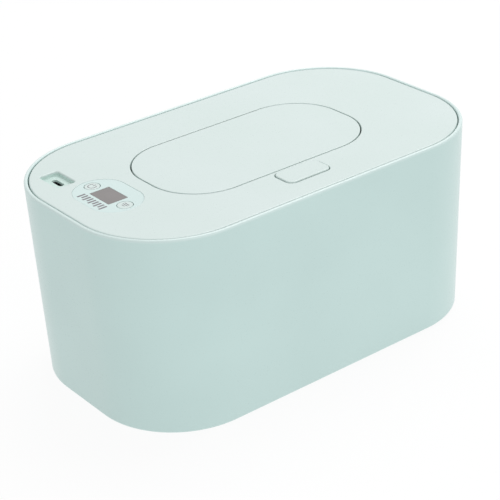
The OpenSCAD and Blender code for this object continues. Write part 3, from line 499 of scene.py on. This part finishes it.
# ---- Lift tray ----
# Flat white polypropylene moulding with a rim, two ribs, a cup over each spring, two finger
# holes and two rows of drain holes. It slides up and down in the tank.
dressed("lift_tray_body", "lift_tray", white_pp, "tray", 0.25)


# ---- Lid panel ----
# Flat moulding in the mint ABS, painted paler for the light that falls on the lid from above: top
# plate, skirt, the door's well with its collar and hinge nests, the socket's pocket and the control
# recess. Eight screws hold it to the under cover.
# Paler copy of the mint ABS: its extra lightness is painted light from above on the lid's top faces
top_lit_mint_abs = moulded("satin_mint_abs_painted_top_light", ("#cbd9d6", "#cedbd9"), 1.53, 0.3, 0.6, 0.18)

lid_low, lid_high = np.array(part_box("lid_panel")) / mm
z_lid = lid_high[2]
z_plate = z_lid - 2.2
r_lid = lid_high[0] - core[0]
lid_edge_round = 0.8
skirt_t = 1.6
seam_round = 0.35

door_low, door_high = np.array(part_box("door_panel")) / mm
door_at = (door_low[:2] + door_high[:2]) / 2
door_size = door_high[:2] - door_low[:2]
door_flat = 10.8
door_gap = 0.7
door_r = (door_size[1] - door_flat) / 2
door_core = door_size / 2 - door_r
r_open = door_r + door_gap
well_t, deck_t, well_depth = 1.2, 1.6, 11.05
r_well = r_open + well_t
z_deck = z_lid - well_depth
z_deck_low = z_deck - deck_t
throat_r, throat_t, collar_up = 14.6, 1.8, 4.6
z_collar = z_deck + collar_up

hinge_x = 27
nest_in, nest_out, nest_wall = 4.3, 7.8, 1.6
nest_back = 4.2
pivot_back, pivot_down = 3.6, 3.3
pivot = np.array([door_high[1] + pivot_back, z_lid - pivot_down])
z_nest = z_lid - 1.2
nests = [(-hinge_x - nest_in, -hinge_x + nest_out), (hinge_x - nest_out, hinge_x + nest_in)]
nest_rear = pivot[0] + nest_back
well_front, well_rear = door_at[1] - door_core[1] - r_open, door_at[1] + door_core[1] + r_open

button_w, button_d, button_r = 26, 14, 3.7
button_gap = 0.5
button_at = np.array([door_at[0] + 0.2, door_low[1] - door_gap - 1.25 - button_gap - button_d / 2])
hook_half = 5
hook_low, hook_high = z_lid - 6.65, z_lid - 2.45
hook_stops = [button_at[0] - door_at[0] - hook_half, button_at[0] - door_at[0] + hook_half]

stops = [x for n in nests for x in (n[0] - nest_wall, *n, n[1] + nest_wall)]
door_line = outline(door_core, 40, rear=stops, front=hook_stops)
button_line = outline((button_w / 2 - button_r, button_d / 2 - button_r), 12)
button_hole = button_r + button_gap

oval_low, oval_high = np.array(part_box("control_overlay")) / mm
oval_at = (oval_low[:2] + oval_high[:2]) / 2
oval_size = oval_high[:2] - oval_low[:2]
oval_r = oval_size[0] / 2
oval_line = outline((0, oval_size[1] / 2 - oval_r), 40)
z_recess, recess_round = oval_low[2], 0.12
fit = 0.1
window_size = np.array([11, 16.3])
window_at = np.array(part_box("display_window")).mean(0)[:2] / mm
window_r = 0.4
window_line = outline(window_size / 2 - window_r, 6)
window_hole = window_r + fit
window_loop = loop(window_line, window_hole, window_at)
key_ring = 0.3
key_boxes = [np.array(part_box(name)) / mm for name in ("power_key", "mode_key")]
key_flange = 1.1
key_r = (key_boxes[0][1][0] - key_boxes[0][0][0]) / 2 - key_flange
key_at = [b.mean(0)[:2] for b in key_boxes]
key_hole = key_r + key_ring
key_loops = [loop(dot, key_hole, at) for at in key_at]

port_low, port_high = np.array(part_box("socket_shell")) / mm
port_at = (port_low[:2] + port_high[:2]) / 2
port_size = port_high[:2] - port_low[:2] - 0.3
port_r, port_edge = 1.35, 0.2
port_line = outline(port_size / 2 - port_r, 10)
pocket_size = np.array([10.5, 17])
pocket_at = port_at - [0.45, 0.65]
pocket_h, pocket_t, pocket_r = 2.3, 1.2, 1.5
pocket_round, pocket_foot = 0.8, 0.3
pocket_line = outline(pocket_size / 2 - pocket_r, 10)
z_pocket = z_lid - pocket_h

# Painted shade in the recesses: below the lid's face the mint is painted deeper, standing in for light that
# is caught between the walls of a recess and goes through more of the plastic
change_tone(top_lit_mint_abs, z_lid - 0.5, z_lid - 1.5, "#c7dcd6")


def down_from(z, r, low, ease):
    """Profile of a hole's wall with an eased upper edge, from the face at z down to low."""
    return [*bend((r + ease, z - ease), ease, 90, 180, 4), (r, low)]


def ring(line, r_in, r_out, low, high, ease, at=(0, 0), low_ease=0.05):
    """A closed ring on an outline, its four edges eased."""
    corners = [(r_in, low, low_ease, 180), (r_out, low, low_ease, 270),
               (r_out, high, ease, 0), (r_in, high, ease, 90)]
    profile = []
    for r, z, e, a in corners:
        centre = (r + (e if r == r_in else -e), z + (e if z == low else -e))
        profile += bend(centre, e, a, a + 90, 4)
    return carried(line, profile, at, closed=True)


def box(low, high, open_sides=(), inward=False, levels=()):
    """Faces between two corners, without the sides named by sign and axis. Levels split the
    upright sides, so that they meet walls that have points at those heights."""
    heights = [low[2], *levels, high[2]]
    ring = [(low[0], low[1]), (high[0], low[1]), (high[0], high[1]), (low[0], high[1])]
    points = np.array([(x, y, z) for z in heights for x, y in ring])
    top = len(points) - 4
    faces = [(i + k, i + (k + 1) % 4, i + (k + 1) % 4 + 4, i + k + 4) for i in range(0, top, 4)
             for k, side in enumerate(("-y", "+x", "+y", "-x")) if side not in open_sides]
    faces += [(3, 2, 1, 0)] * ("-z" not in open_sides)
    faces += [(top, top + 1, top + 2, top + 3)] * ("+z" not in open_sides)
    return points, np.array(faces)[:, ::-1] if inward else np.array(faces)


# screw posts: four along the front and rear, two at the right end, two clear of the controls
lid_posts = [*([45 * s, t * (core[1] + 28.5)] for s in (-1, 1) for t in (-1, 1)), [core[0] + 20.8, 30],
             [core[0] + 20.8, -30], [-core[0] - 14.8, -core[1] - 24.5], [-core[0] - 6.8, core[1] + 29.5]]
post_h, post_r, pilot_r, pilot_end = 7.8, 3, 1.45, 1
nest_cuts = [(door_at[0] + a, door_at[0] + b, 1, z_deck, z_nest) for a, b in nests]
nest_openings = [(a - nest_wall, b + nest_wall, 1, z_deck_low, z_plate) for a, b, *_ in nest_cuts]
hook_cut = (door_at[0] + hook_stops[0], door_at[0] + hook_stops[1], -1, hook_low, hook_high)
rear_face, nest_face = well_rear + well_t, nest_rear + well_t
nest_rings = [np.array([[a - nest_wall, rear_face], [a, rear_face], [b, rear_face],
                        [b + nest_wall, rear_face], [b + nest_wall, nest_face], [a - nest_wall, nest_face]])
              for a, b in door_at[0] + np.array(nests)]
collar_r, collar_edge = throat_r + throat_t, 0.5
ledge_in, ledge_half, ledge_edge = throat_r - 1.4, 0.6, 0.2
collar = [
    (collar_r, z_deck),
    *bend((collar_r - collar_edge, z_collar - collar_edge), collar_edge, 0, 90, 4),
    *bend((throat_r + collar_edge, z_collar - collar_edge), collar_edge, 90, 180, 4),
    (throat_r, z_deck + ledge_half),
    *bend((ledge_in + ledge_edge, z_deck + ledge_half - ledge_edge), ledge_edge, 90, 180, 2),
    *bend((ledge_in + ledge_edge, z_deck - ledge_half + ledge_edge), ledge_edge, 180, 270, 2),
    (throat_r, z_deck - ledge_half), (throat_r, lid_low[2]), (collar_r, lid_low[2]), (collar_r, z_deck_low)]
lid_faces = [
    carried(round_tub, [(r_lid - skirt_t, z_plate), (r_lid - skirt_t, z_ledge), (r_lid, z_ledge),
                        *bend((r_lid - lid_edge_round, z_lid - lid_edge_round), lid_edge_round, 0, 90, 8)]),
    sheet(z_lid, loop(round_tub, r_lid - lid_edge_round), [
        loop(door_line, r_open + seam_round, door_at),
        loop(button_line, button_hole + seam_round, button_at),
        loop(oval_line, oval_r + fit + recess_round, oval_at),
        loop(pocket_line, pocket_r + pocket_round, pocket_at)]),
    # the door's well, with its collar, the ledge that carries the insert, and the hinge nests
    carried(door_line, [*down_from(z_lid, r_open, z_nest, seam_round), (r_open, hook_high),
                        (r_open, hook_low), (r_open, z_deck)], door_at, cuts=[*nest_cuts, hook_cut]),
    sheet(z_deck, loop(door_line, r_open, door_at), [loop(door_line, collar_r, door_at)]),
    carried(door_line, collar, door_at),
    sheet(z_deck_low, loop(door_line, r_well, door_at), [loop(door_line, collar_r, door_at)], up=False),
    *(sheet(z_deck_low, n, up=False) for n in nest_rings),
    carried(door_line, [(r_well, z) for z in (z_deck_low, hook_low, hook_high, z_plate)], door_at,
            cuts=[hook_cut, *nest_openings]),
    box([hook_cut[0], well_front - well_t, hook_low], [hook_cut[1], well_front, hook_high],
        ("-y", "+y"), inward=True),
    # the plate's holes, its recess and its underside
    carried(button_line, down_from(z_lid, button_hole, z_plate, seam_round), button_at),
    carried(oval_line, down_from(z_lid, oval_r + fit, z_recess, recess_round), oval_at),
    sheet(z_recess, loop(oval_line, oval_r + fit, oval_at), [*key_loops, window_loop]),
    *(carried(dot, [(key_hole, z_recess), (key_hole, z_plate)], at) for at in key_at),
    carried(window_line, [(window_hole, z_recess), (window_hole, z_plate)], window_at),
    carried(pocket_line, [*down_from(z_lid, pocket_r, z_pocket + pocket_foot, pocket_round),
                          *bend((pocket_r - pocket_foot, z_pocket + pocket_foot), pocket_foot, 0, -90, 4)],
            pocket_at),
    sheet(z_pocket, loop(pocket_line, pocket_r - pocket_foot, pocket_at),
          [loop(port_line, port_r + port_edge, port_at)]),
    carried(port_line, down_from(z_pocket, port_r, z_pocket - pocket_t, port_edge), port_at),
    sheet(z_pocket - pocket_t, loop(pocket_line, pocket_r + pocket_t, pocket_at),
          [loop(port_line, port_r, port_at)], up=False),
    carried(pocket_line, [(pocket_r + pocket_t, z) for z in (z_pocket - pocket_t, z_plate)], pocket_at),
    sheet(z_plate, loop(round_tub, r_lid - skirt_t), [
        loop(door_line, r_well, door_at), *nest_rings, loop(button_line, button_hole, button_at),
        *key_loops, window_loop, loop(pocket_line, pocket_r + pocket_t, pocket_at),
        *(loop(dot, post_r, at) for at in lid_posts)], up=False)]
for at in lid_posts:
    lid_faces += [carried(dot, [(pilot_r, z_plate - pilot_end), (pilot_r, z_plate - post_h),
                                (post_r, z_plate - post_h), (post_r, z_plate)], at),
                  sheet(z_plate - pilot_end, loop(dot, pilot_r, at), up=False)]
for a, b in door_at[0] + np.array(nests):
    lid_faces += [box([a, well_rear, z_deck], [b, nest_rear, z_nest], ("-y",), True, (hook_low, hook_high)),
                  box([a - nest_wall, rear_face, z_deck_low], [b + nest_wall, nest_face, z_plate],
                      ("-y", "-z", "+z"), levels=(hook_low, hook_high))]
# the two ears that hold the latch lever's pin
crank_at = np.array([button_at[0], well_front - 3.85, z_lid - 9.05])
ear_x, ear_half, ear_front, ear_up = 9.1, 0.8, 2.2, 2.4
for s in (-1, 1):
    ear = button_at[0] + s * ear_x
    lid_faces.append(box([ear - ear_half, crank_at[1] - ear_front, crank_at[2] - ear_up],
                         [ear + ear_half, well_front - well_t / 2, crank_at[2] + ear_up]))
piece("lid_panel_body", lid_faces, top_lit_mint_abs, "lid", ["lid_panel"])


# ---- Under cover ----
# White polypropylene pan below the lid panel. It closes the electronics in, carries the board on
# posts and holds the heater in a recess on its underside.
dressed("under_cover_body", "lid_under_cover", white_pp, "lid", 0.2)
dressed("lid_screws_zinc", "lid_screws", zinc_steel, "lid", 0.12)


# ---- Tank seal and door seal ----
# Extruded rings of white silicone with round lips. One sits in the lid's skirt and closes the
# tank, the other sits in the door and closes the throat.
white_silicone = moulded("moulded_white_silicone", ("#eef0ed", "#f2f4f1"), 1.41, 0.5, 0.7, 0.2)
seal_low, seal_high = np.array(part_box("tank_seal")) / mm
r_seal, seal_w = seal_high[0] - core[0], 2
piece("tank_seal_ring", [
    ring(round_tub, r_seal - seal_w, r_seal, seal_low[2], seal_high[2], 0.1, low_ease=0.7)],
      white_silicone, "lid", ["tank_seal"])
cap_low, cap_high = np.array(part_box("door_seal")) / mm
r_cap, cap_w = cap_high[0] - door_at[0] - door_core[0], 2.4
piece("door_seal_ring", [ring(door_line, r_cap - cap_w, r_cap, cap_low[2], cap_high[2], 0.1, door_at, 0.9)],
      white_silicone, "door", ["door_seal"])


# ---- Heater stack ----
# An aluminium plate faces the wipes. Behind it lie a printed heating film and a felt pad, and
# six countersunk screws pull the stack into the under cover's recess.
# Rolled aluminium: soft sheen with fine lines along the sheet
aluminium = metal("rolled_aluminium_sheet", "#c9ccd0", 0.38, 1.2, 0.35, (0.08, 1, 1))
dressed("heat_plate_sheet", "heat_plate", aluminium, "lid", 0.05)
dressed("plate_screws_zinc", "plate_screws", zinc_steel, "lid", 0.08)

trace_pitch = 4.5
film, tree = blank_material("etched_polyimide_film")
place = add(tree, "ShaderNodeTexCoord").outputs["Object"]
bands = add(tree, "ShaderNodeTexWave", {"Vector": place, "Scale": 1 / (trace_pitch * mm) * math.pi / 10,
                                        "Distortion": 0.0}, wave_type="BANDS", bands_direction="Y")
tracks = add(tree, "ShaderNodeValToRGB", {0: bands.outputs["Fac"]})
tracks.color_ramp.interpolation = "CONSTANT"
tracks.color_ramp.elements[0].color = linear("#c8742c")
tracks.color_ramp.elements[1].color = linear("#8f6a4a")
tracks.color_ramp.elements[1].position = 0.55
skin = add(tree, "ShaderNodeBsdfPrincipled", {
    "Base Color": tracks.outputs[0], "IOR": 1.7, "Roughness": 0.28})
add(tree, "ShaderNodeOutputMaterial", {0: skin.outputs[0]})
dressed("heating_film_sheet", "heating_film", film, "lid")

# Needled felt: off-white, matt, with short tangled fibres about 1 mm apart
felt = moulded("needled_aramid_felt", ("#dedacb", "#ebe7da"), 1.5, 0.9, 1.0, 1.0, 3)
dressed("insulation_pad_felt", "insulation_pad", felt, "lid", 0.3)

# Glazed steatite and cast epoxy
ceramic = moulded("glazed_white_ceramic", ("#efeee6", "#f3f2ea"), 1.6, 0.25, 0.5, 0.1, 5)
black_epoxy = moulded("cast_black_epoxy", ("#242527", "#2b2c2e"), 1.55, 0.55, 0.3, 0.3, 5)
dressed("thermal_cutoff_body", "thermal_cutoff", ceramic, "lid", 0.15)
dressed("temperature_sensor_bead", "temperature_sensor", black_epoxy, "lid", 0.1)
red_silicone = moulded("red_silicone_insulation", ("#a8352f", "#b33f38"), 1.41, 0.45, 0.5, 0.2, 5)
white_pvc = moulded("white_pvc_insulation", ("#e6e6e4", "#ececea"), 1.54, 0.4, 0.5, 0.1, 5)
dressed("heater_lead_wires", "heater_leads", red_silicone, "lid")
dressed("sensor_lead_wires", "sensor_leads", white_pvc, "lid")


# ---- Dispensing insert ----
# A white frame with a long slot that holds the top wipe ready. It drops into the throat.
dressed("dispensing_insert_frame", "dispensing_insert", white_pp, "lid", 0.3)


# ---- Control board ----
# Green glass-epoxy board on three posts, with the microcontroller, two transistors, three
# capacitors, two plug sockets and three small screws.
board, tree = blank_material("green_solder_mask")
place = add(tree, "ShaderNodeTexCoord").outputs["Object"]
cells = add(tree, "ShaderNodeTexVoronoi", {"Vector": place, "Scale": 1 / (3.5 * mm), "Randomness": 0.35},
            distance="CHEBYCHEV", feature="DISTANCE_TO_EDGE")
copper = add(tree, "ShaderNodeValToRGB", {0: cells.outputs["Distance"]})
copper.color_ramp.elements[0].position, copper.color_ramp.elements[1].position = 0.06, 0.09
copper.color_ramp.elements[0].color = linear("#3f7d54")
copper.color_ramp.elements[1].color = linear("#2b6240")
skin = add(tree, "ShaderNodeBsdfPrincipled", {
    "Base Color": copper.outputs[0], "IOR": 1.5, "Roughness": 0.3})
add(tree, "ShaderNodeOutputMaterial", {0: skin.outputs[0]})
dressed("control_board_sheet", "control_board", board, "lid")
dressed("board_screws_zinc", "board_screws", zinc_steel, "lid", 0.08)
dressed("controller_chip_body", "controller_chip", black_epoxy, "lid", 0.12)
dressed("power_transistor_bodies", "power_transistors", black_epoxy, "lid", 0.15)
can_aluminium = metal("drawn_aluminium_can", "#b4b9be", 0.3, 0.5, 0.2)
dressed("capacitor_cans", "board_capacitors", can_aluminium, "lid", 0.2)
nylon = moulded("moulded_white_nylon", ("#ece9df", "#f1eee5"), 1.53, 0.45, 0.5, 0.15, 5)
dressed("lead_connector_bodies", "lead_connectors", nylon, "lid", 0.15)


# ---- Display and window ----
# A two-digit module on the board, behind a smoked acrylic window whose face lies flush with the
# overlay. Unlit, the window shows a plain warm grey.
display_white = moulded("moulded_display_reflector", ("#cfd0cd", "#d6d7d4"), 1.5, 0.5, 0.5, 0.1, 5)
dressed("display_module_body", "display_module", display_white, "lid", 0.1)
smoked = moulded("polished_smoked_acrylic", ("#7b7776", "#7f7b7a"), 1.49, 0.12, 1.0, 0.02, 10)
z_face, face_edge = oval_high[2], 0.1
window_low, window_high = np.array(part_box("display_window")) / mm
piece("display_window_pane", [
    carried(window_line, [(window_r, z_plate),
                          *bend((window_r - face_edge, z_face - face_edge), face_edge, 0, 90, 3)], window_at),
    sheet(z_face, loop(window_line, window_r - face_edge, window_at)),
    box(window_low, [*window_high[:2], z_plate], ("+z",)),
    sheet(z_plate, [window_low[:2], (window_high[0], window_low[1]), window_high[:2],
                    (window_low[0], window_high[1])], [loop(window_line, window_r, window_at)])],
    smoked, "lid", ["display_window"])


# ---- Control overlay ----
# A thin oval of hard-coated polycarbonate let into the lid, with holes for the window and the
# keys. A plain scale of ticks is screen-printed beside the window.
overlay_film = moulded("hard_coated_polycarbonate", ("#c9dcda", "#ccdfdd"), 1.58, 0.25, 0.8, 0.05)
piece("control_overlay_film", [
    carried(oval_line, [(oval_r, z_recess),
                        *bend((oval_r - face_edge, z_face - face_edge), face_edge, 0, 90, 3)], oval_at),
    sheet(z_face, loop(oval_line, oval_r - face_edge, oval_at), [
        *(loop(dot, key_hole + face_edge, at) for at in key_at), window_loop]),
    *(carried(dot, down_from(z_face, key_hole, z_recess, face_edge), at) for at in key_at),
    carried(window_line, [(window_hole, z_face), (window_hole, z_recess)], window_at),
    sheet(z_recess, loop(oval_line, oval_r, oval_at), [*key_loops, window_loop], up=False)],
    overlay_film, "lid", ["control_overlay"])


def stroke(path, width, z, thick):
    """A printed stroke along flat points: at each point the section is a rectangle, half the
    width to either side of the path, from z up to z + thick."""
    path = np.array(path, float)
    along = np.gradient(path, axis=0)
    along /= np.linalg.norm(along, axis=1)[:, None]
    side = np.stack([along[:, 1], -along[:, 0]], 1) * width / 2
    section = [(1, z), (1, z + thick), (-1, z + thick), (-1, z)]
    rows = [np.column_stack([path + s * side, np.full(len(path), h)]) for s, h in section]
    return swept(np.stack(rows, 1))


# Screen ink: matt grey, a few hundredths of a millimetre thick
grey_ink = moulded("screen_printed_grey_ink", ("#757277", "#7f7c81"), 1.5, 0.6, 0.3, 0.2, 3)
ink = 0.03
tick_pitch, tick_w = 2.3, 1.2
long_tick, short_tick = 4.6, 3.6
tick_gap = 1.7
scale_x = window_at[0] - window_size[0] / 2 - tick_gap
ticks = []
for i in range(-4, 5):
    y = window_at[1] + i * tick_pitch
    length = short_tick if i % 2 else long_tick
    ticks.append(stroke([(scale_x, y), (scale_x - length, y)], tick_w, z_face, ink))
piece("printed_scale", ticks, grey_ink, "lid")


# ---- Keys, plungers and switches ----
# Two round caps of the lid's ABS sit in the overlay's holes. Each rests on the brown plunger of
# a tactile switch on the board.
key_edge, key_stem = 0.2, 1.5
flange_low, flange_high = z_plate - 1.2, z_plate - 0.1
for name, (low, high), at in zip(("power_key", "mode_key"), key_boxes, key_at):
    piece(name + "_cap", [
        carried(dot, [(key_stem, low[2]), (key_stem, flange_low), (key_r + key_flange, flange_low),
                      (key_r + key_flange, flange_high), (key_r, flange_high),
                      *bend((key_r - key_edge, high[2] - key_edge), key_edge, 0, 90, 4)], at),
        sheet(high[2], loop(dot, key_r - key_edge, at)), sheet(low[2], loop(dot, key_stem, at), up=False)],
        top_lit_mint_abs, name, [name])
# the marks: an open ring with a dash in its gap, and three bars
mark_w, mark_r = 0.42, 2.1
arc = np.radians(np.linspace(40, 320, 29))
bars = ((1.1, 1.9), (0, 1.9), (-1.1, 1.1))
marks = {"power_key": [key_at[0] + mark_r * np.stack([np.cos(arc), np.sin(arc)], 1),
                       key_at[0] + [[0.5, 0], [2.3, 0]]],
         "mode_key": [key_at[1] + [[x, -half], [x, half]] for x, half in bars]}
for name, paths in marks.items():
    piece(name + "_mark", [stroke(path, mark_w, key_boxes[0][1][2], ink) for path in paths], grey_ink, name)
brown_pom = moulded("moulded_brown_acetal", ("#b48a3c", "#b98f43"), 1.48, 0.4, 0.4, 0.1, 5)
dressed("power_plunger_pin", "power_plunger", brown_pom, "power_key", 0.12)
dressed("mode_plunger_pin", "mode_plunger", brown_pom, "mode_key", 0.12)
dressed("switch_housing_bodies", "switch_housings", black_epoxy, "lid", 0.15)


# ---- Power socket ----
# A drawn steel shell stands on the board under the pocket's slot, with a black contact tongue.
socket_steel = metal("nickel_plated_steel", "#bfc2c4", 0.22, 0.5, 0.15)
dressed("socket_shell_steel", "socket_shell", socket_steel, "lid")
dressed("socket_tongue_body", "socket_tongue", black_epoxy, "lid")


# ---- Latch button ----
# A hollow cap of the lid's ABS. A flange round its front and sides keeps it under the plate, and
# its stem presses the lever, whose hook reaches out through the gap at its rear.
button_drop, cap_t, skirt, button_edge = 1.3, 2, 1.2, 0.6
z_button, z_skirt = np.array(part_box("latch_button"))[1, 2] / mm, z_plate - button_drop
z_roof, rear_y = z_button - cap_t, button_at[1] + button_d / 2
button_open = outline((button_w / 2 - button_r, button_d / 2 - button_r), 12, rear=[-hook_half, hook_half])
gap_cut = (button_at[0] - hook_half, button_at[0] + hook_half, 1, z_skirt - 0.1, z_roof)

# the flange runs from rear left, past the front, to rear right
flange, flange_t, flange_steps, overlap = 1.2, 1.1, 12, 0.1
base, way = outline((button_w / 2 - button_r, button_d / 2 - flange / 2 - button_r), flange_steps)
turned = np.roll(np.arange(len(base)), -flange_steps - 1)
flange_side = [(button_r - overlap, z_skirt), (button_r + flange, z_skirt),
               (button_r + flange, z_skirt + flange_t), (button_r - overlap, z_skirt + flange_t)]
flange_rows = carried((base[turned], way[turned]), flange_side, button_at - [0, flange / 2])[0]

crank_arm, stem_up, stem_half, stem_w, stem_sunk = 6.3, 3.2, 0.6, 8, 0.2
foot_y = crank_at[1] - crank_arm
stem_side = [*bend((foot_y, crank_at[2] + stem_up), stem_half, 180, 360, 8),
             (foot_y + stem_half, z_roof + stem_sunk), (foot_y - stem_half, z_roof + stem_sunk)]
stem_rows = [np.column_stack([np.full(len(stem_side), button_at[0] + x), stem_side])
             for x in (stem_w / 2, -stem_w / 2)]
piece("latch_button_cap", [
    carried(button_open, [(button_r - skirt, z_roof), (button_r - skirt, z_skirt), (button_r, z_skirt),
                          (button_r, z_roof),
                          *bend((button_r - button_edge, z_button - button_edge), button_edge, 0, 90, 6)],
            button_at, cuts=[gap_cut]),
    sheet(z_button, loop(button_open, button_r - button_edge, button_at)),
    sheet(z_roof, loop(button_open, button_r - skirt, button_at), up=False),
    box([gap_cut[0], rear_y - skirt, z_skirt], [gap_cut[1], rear_y, z_roof], ("-y", "+y", "-z"), True),
    swept(flange_rows.reshape(len(base), len(flange_side), 3)), swept(np.stack(stem_rows))],
    top_lit_mint_abs, "latch_button", ["latch_button"])


# ---- Latch lever, pin and spring ----
# An acetal bell crank turns on a steel pin. Pressing its foot draws the hook back from the
# door's tongue, and a small coil spring under the foot brings it home.
pom = moulded("moulded_white_acetal", ("#e7eae7", "#ebeeeb"), 1.48, 0.35, 0.6, 0.1, 20)
pin_steel = metal("ground_steel_pin", "#b7babf", 0.2, 0.4, 0.15)
dressed("latch_lever_crank", "latch_lever", pom, "latch_lever", 0.2)
dressed("lever_pin_rod", "lever_pin", pin_steel, "lid", 0.15)
latch_low, latch_high = np.array(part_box("latch_spring")) / mm
latch_wire, latch_r, latch_turns = 0.5, 1.9, 5
latch_coil = piece("latch_spring_coil", [
    spring(latch_r, latch_r, latch_low[2] + latch_wire / 2, latch_high[2] - latch_wire / 2, latch_turns,
           latch_wire, latch_low[:2] + latch_r + latch_wire / 2)],
    spring_steel, None, ["latch_spring"])
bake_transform(latch_coil)


# ---- Door ----
# The outer panel is the lid's ABS and lies flush with it. Its rear underside is cut to the arc
# that the lid's edge sweeps. The white inner plate carries the tongue, the arms and the seal.
sweep_gap = 0.15


def clear_hinge(surface):
    """Moves rear points forward to the arc swept by the lid's edge: y is at most the pivot's y
    less sqrt(R^2 - (z - pivot z)^2), where R grows as the opening bends forward past its core."""
    points, faces = surface
    u = np.maximum(abs(points[:, 0] - door_at[0]) - door_core[0], 0)
    bends = np.minimum(u, r_open / 2)
    back = pivot_back - door_gap + r_open - np.sqrt(r_open ** 2 - bends ** 2)
    reach = np.hypot(back, pivot_down) + sweep_gap
    most = pivot[0] - np.sqrt(np.maximum(reach ** 2 - (points[:, 2] - pivot[1]) ** 2, 0))
    near = (points[:, 1] > door_at[1]) & (u < r_open / 2)
    y = np.where(near, np.minimum(points[:, 1], most), points[:, 1])
    return np.column_stack([points[:, 0], y, points[:, 2]]), faces


z_under = door_low[2]
door_edge = [(door_r, z) for z in np.linspace(z_under, z_lid - seam_round, 6)]
piece("door_panel_cover", [
    clear_hinge(carried(door_line, [
        *door_edge[:-1], *bend((door_r - seam_round, z_lid - seam_round), seam_round, 0, 90, 5)], door_at)),
    sheet(z_lid, loop(door_line, door_r - seam_round, door_at)),
    clear_hinge(sheet(z_under, loop(door_line, door_r, door_at), up=False))],
    top_lit_mint_abs, "door", ["door_panel"])
dressed("door_inner_plate", "door_inner", white_pp, "door", 0.2)


# ---- Hinges ----
# Two steel pins through the lid's nests carry the arms. A torsion spring beside each arm throws
# the door open when the latch lets go.
dressed("hinge_pin_rods", "hinge_pins", pin_steel, "lid", 0.15)
dressed("hinge_spring_coils", "hinge_springs", spring_steel, "lid")


# ---- Close ----
# The bounds of the dressed model.
low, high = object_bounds()
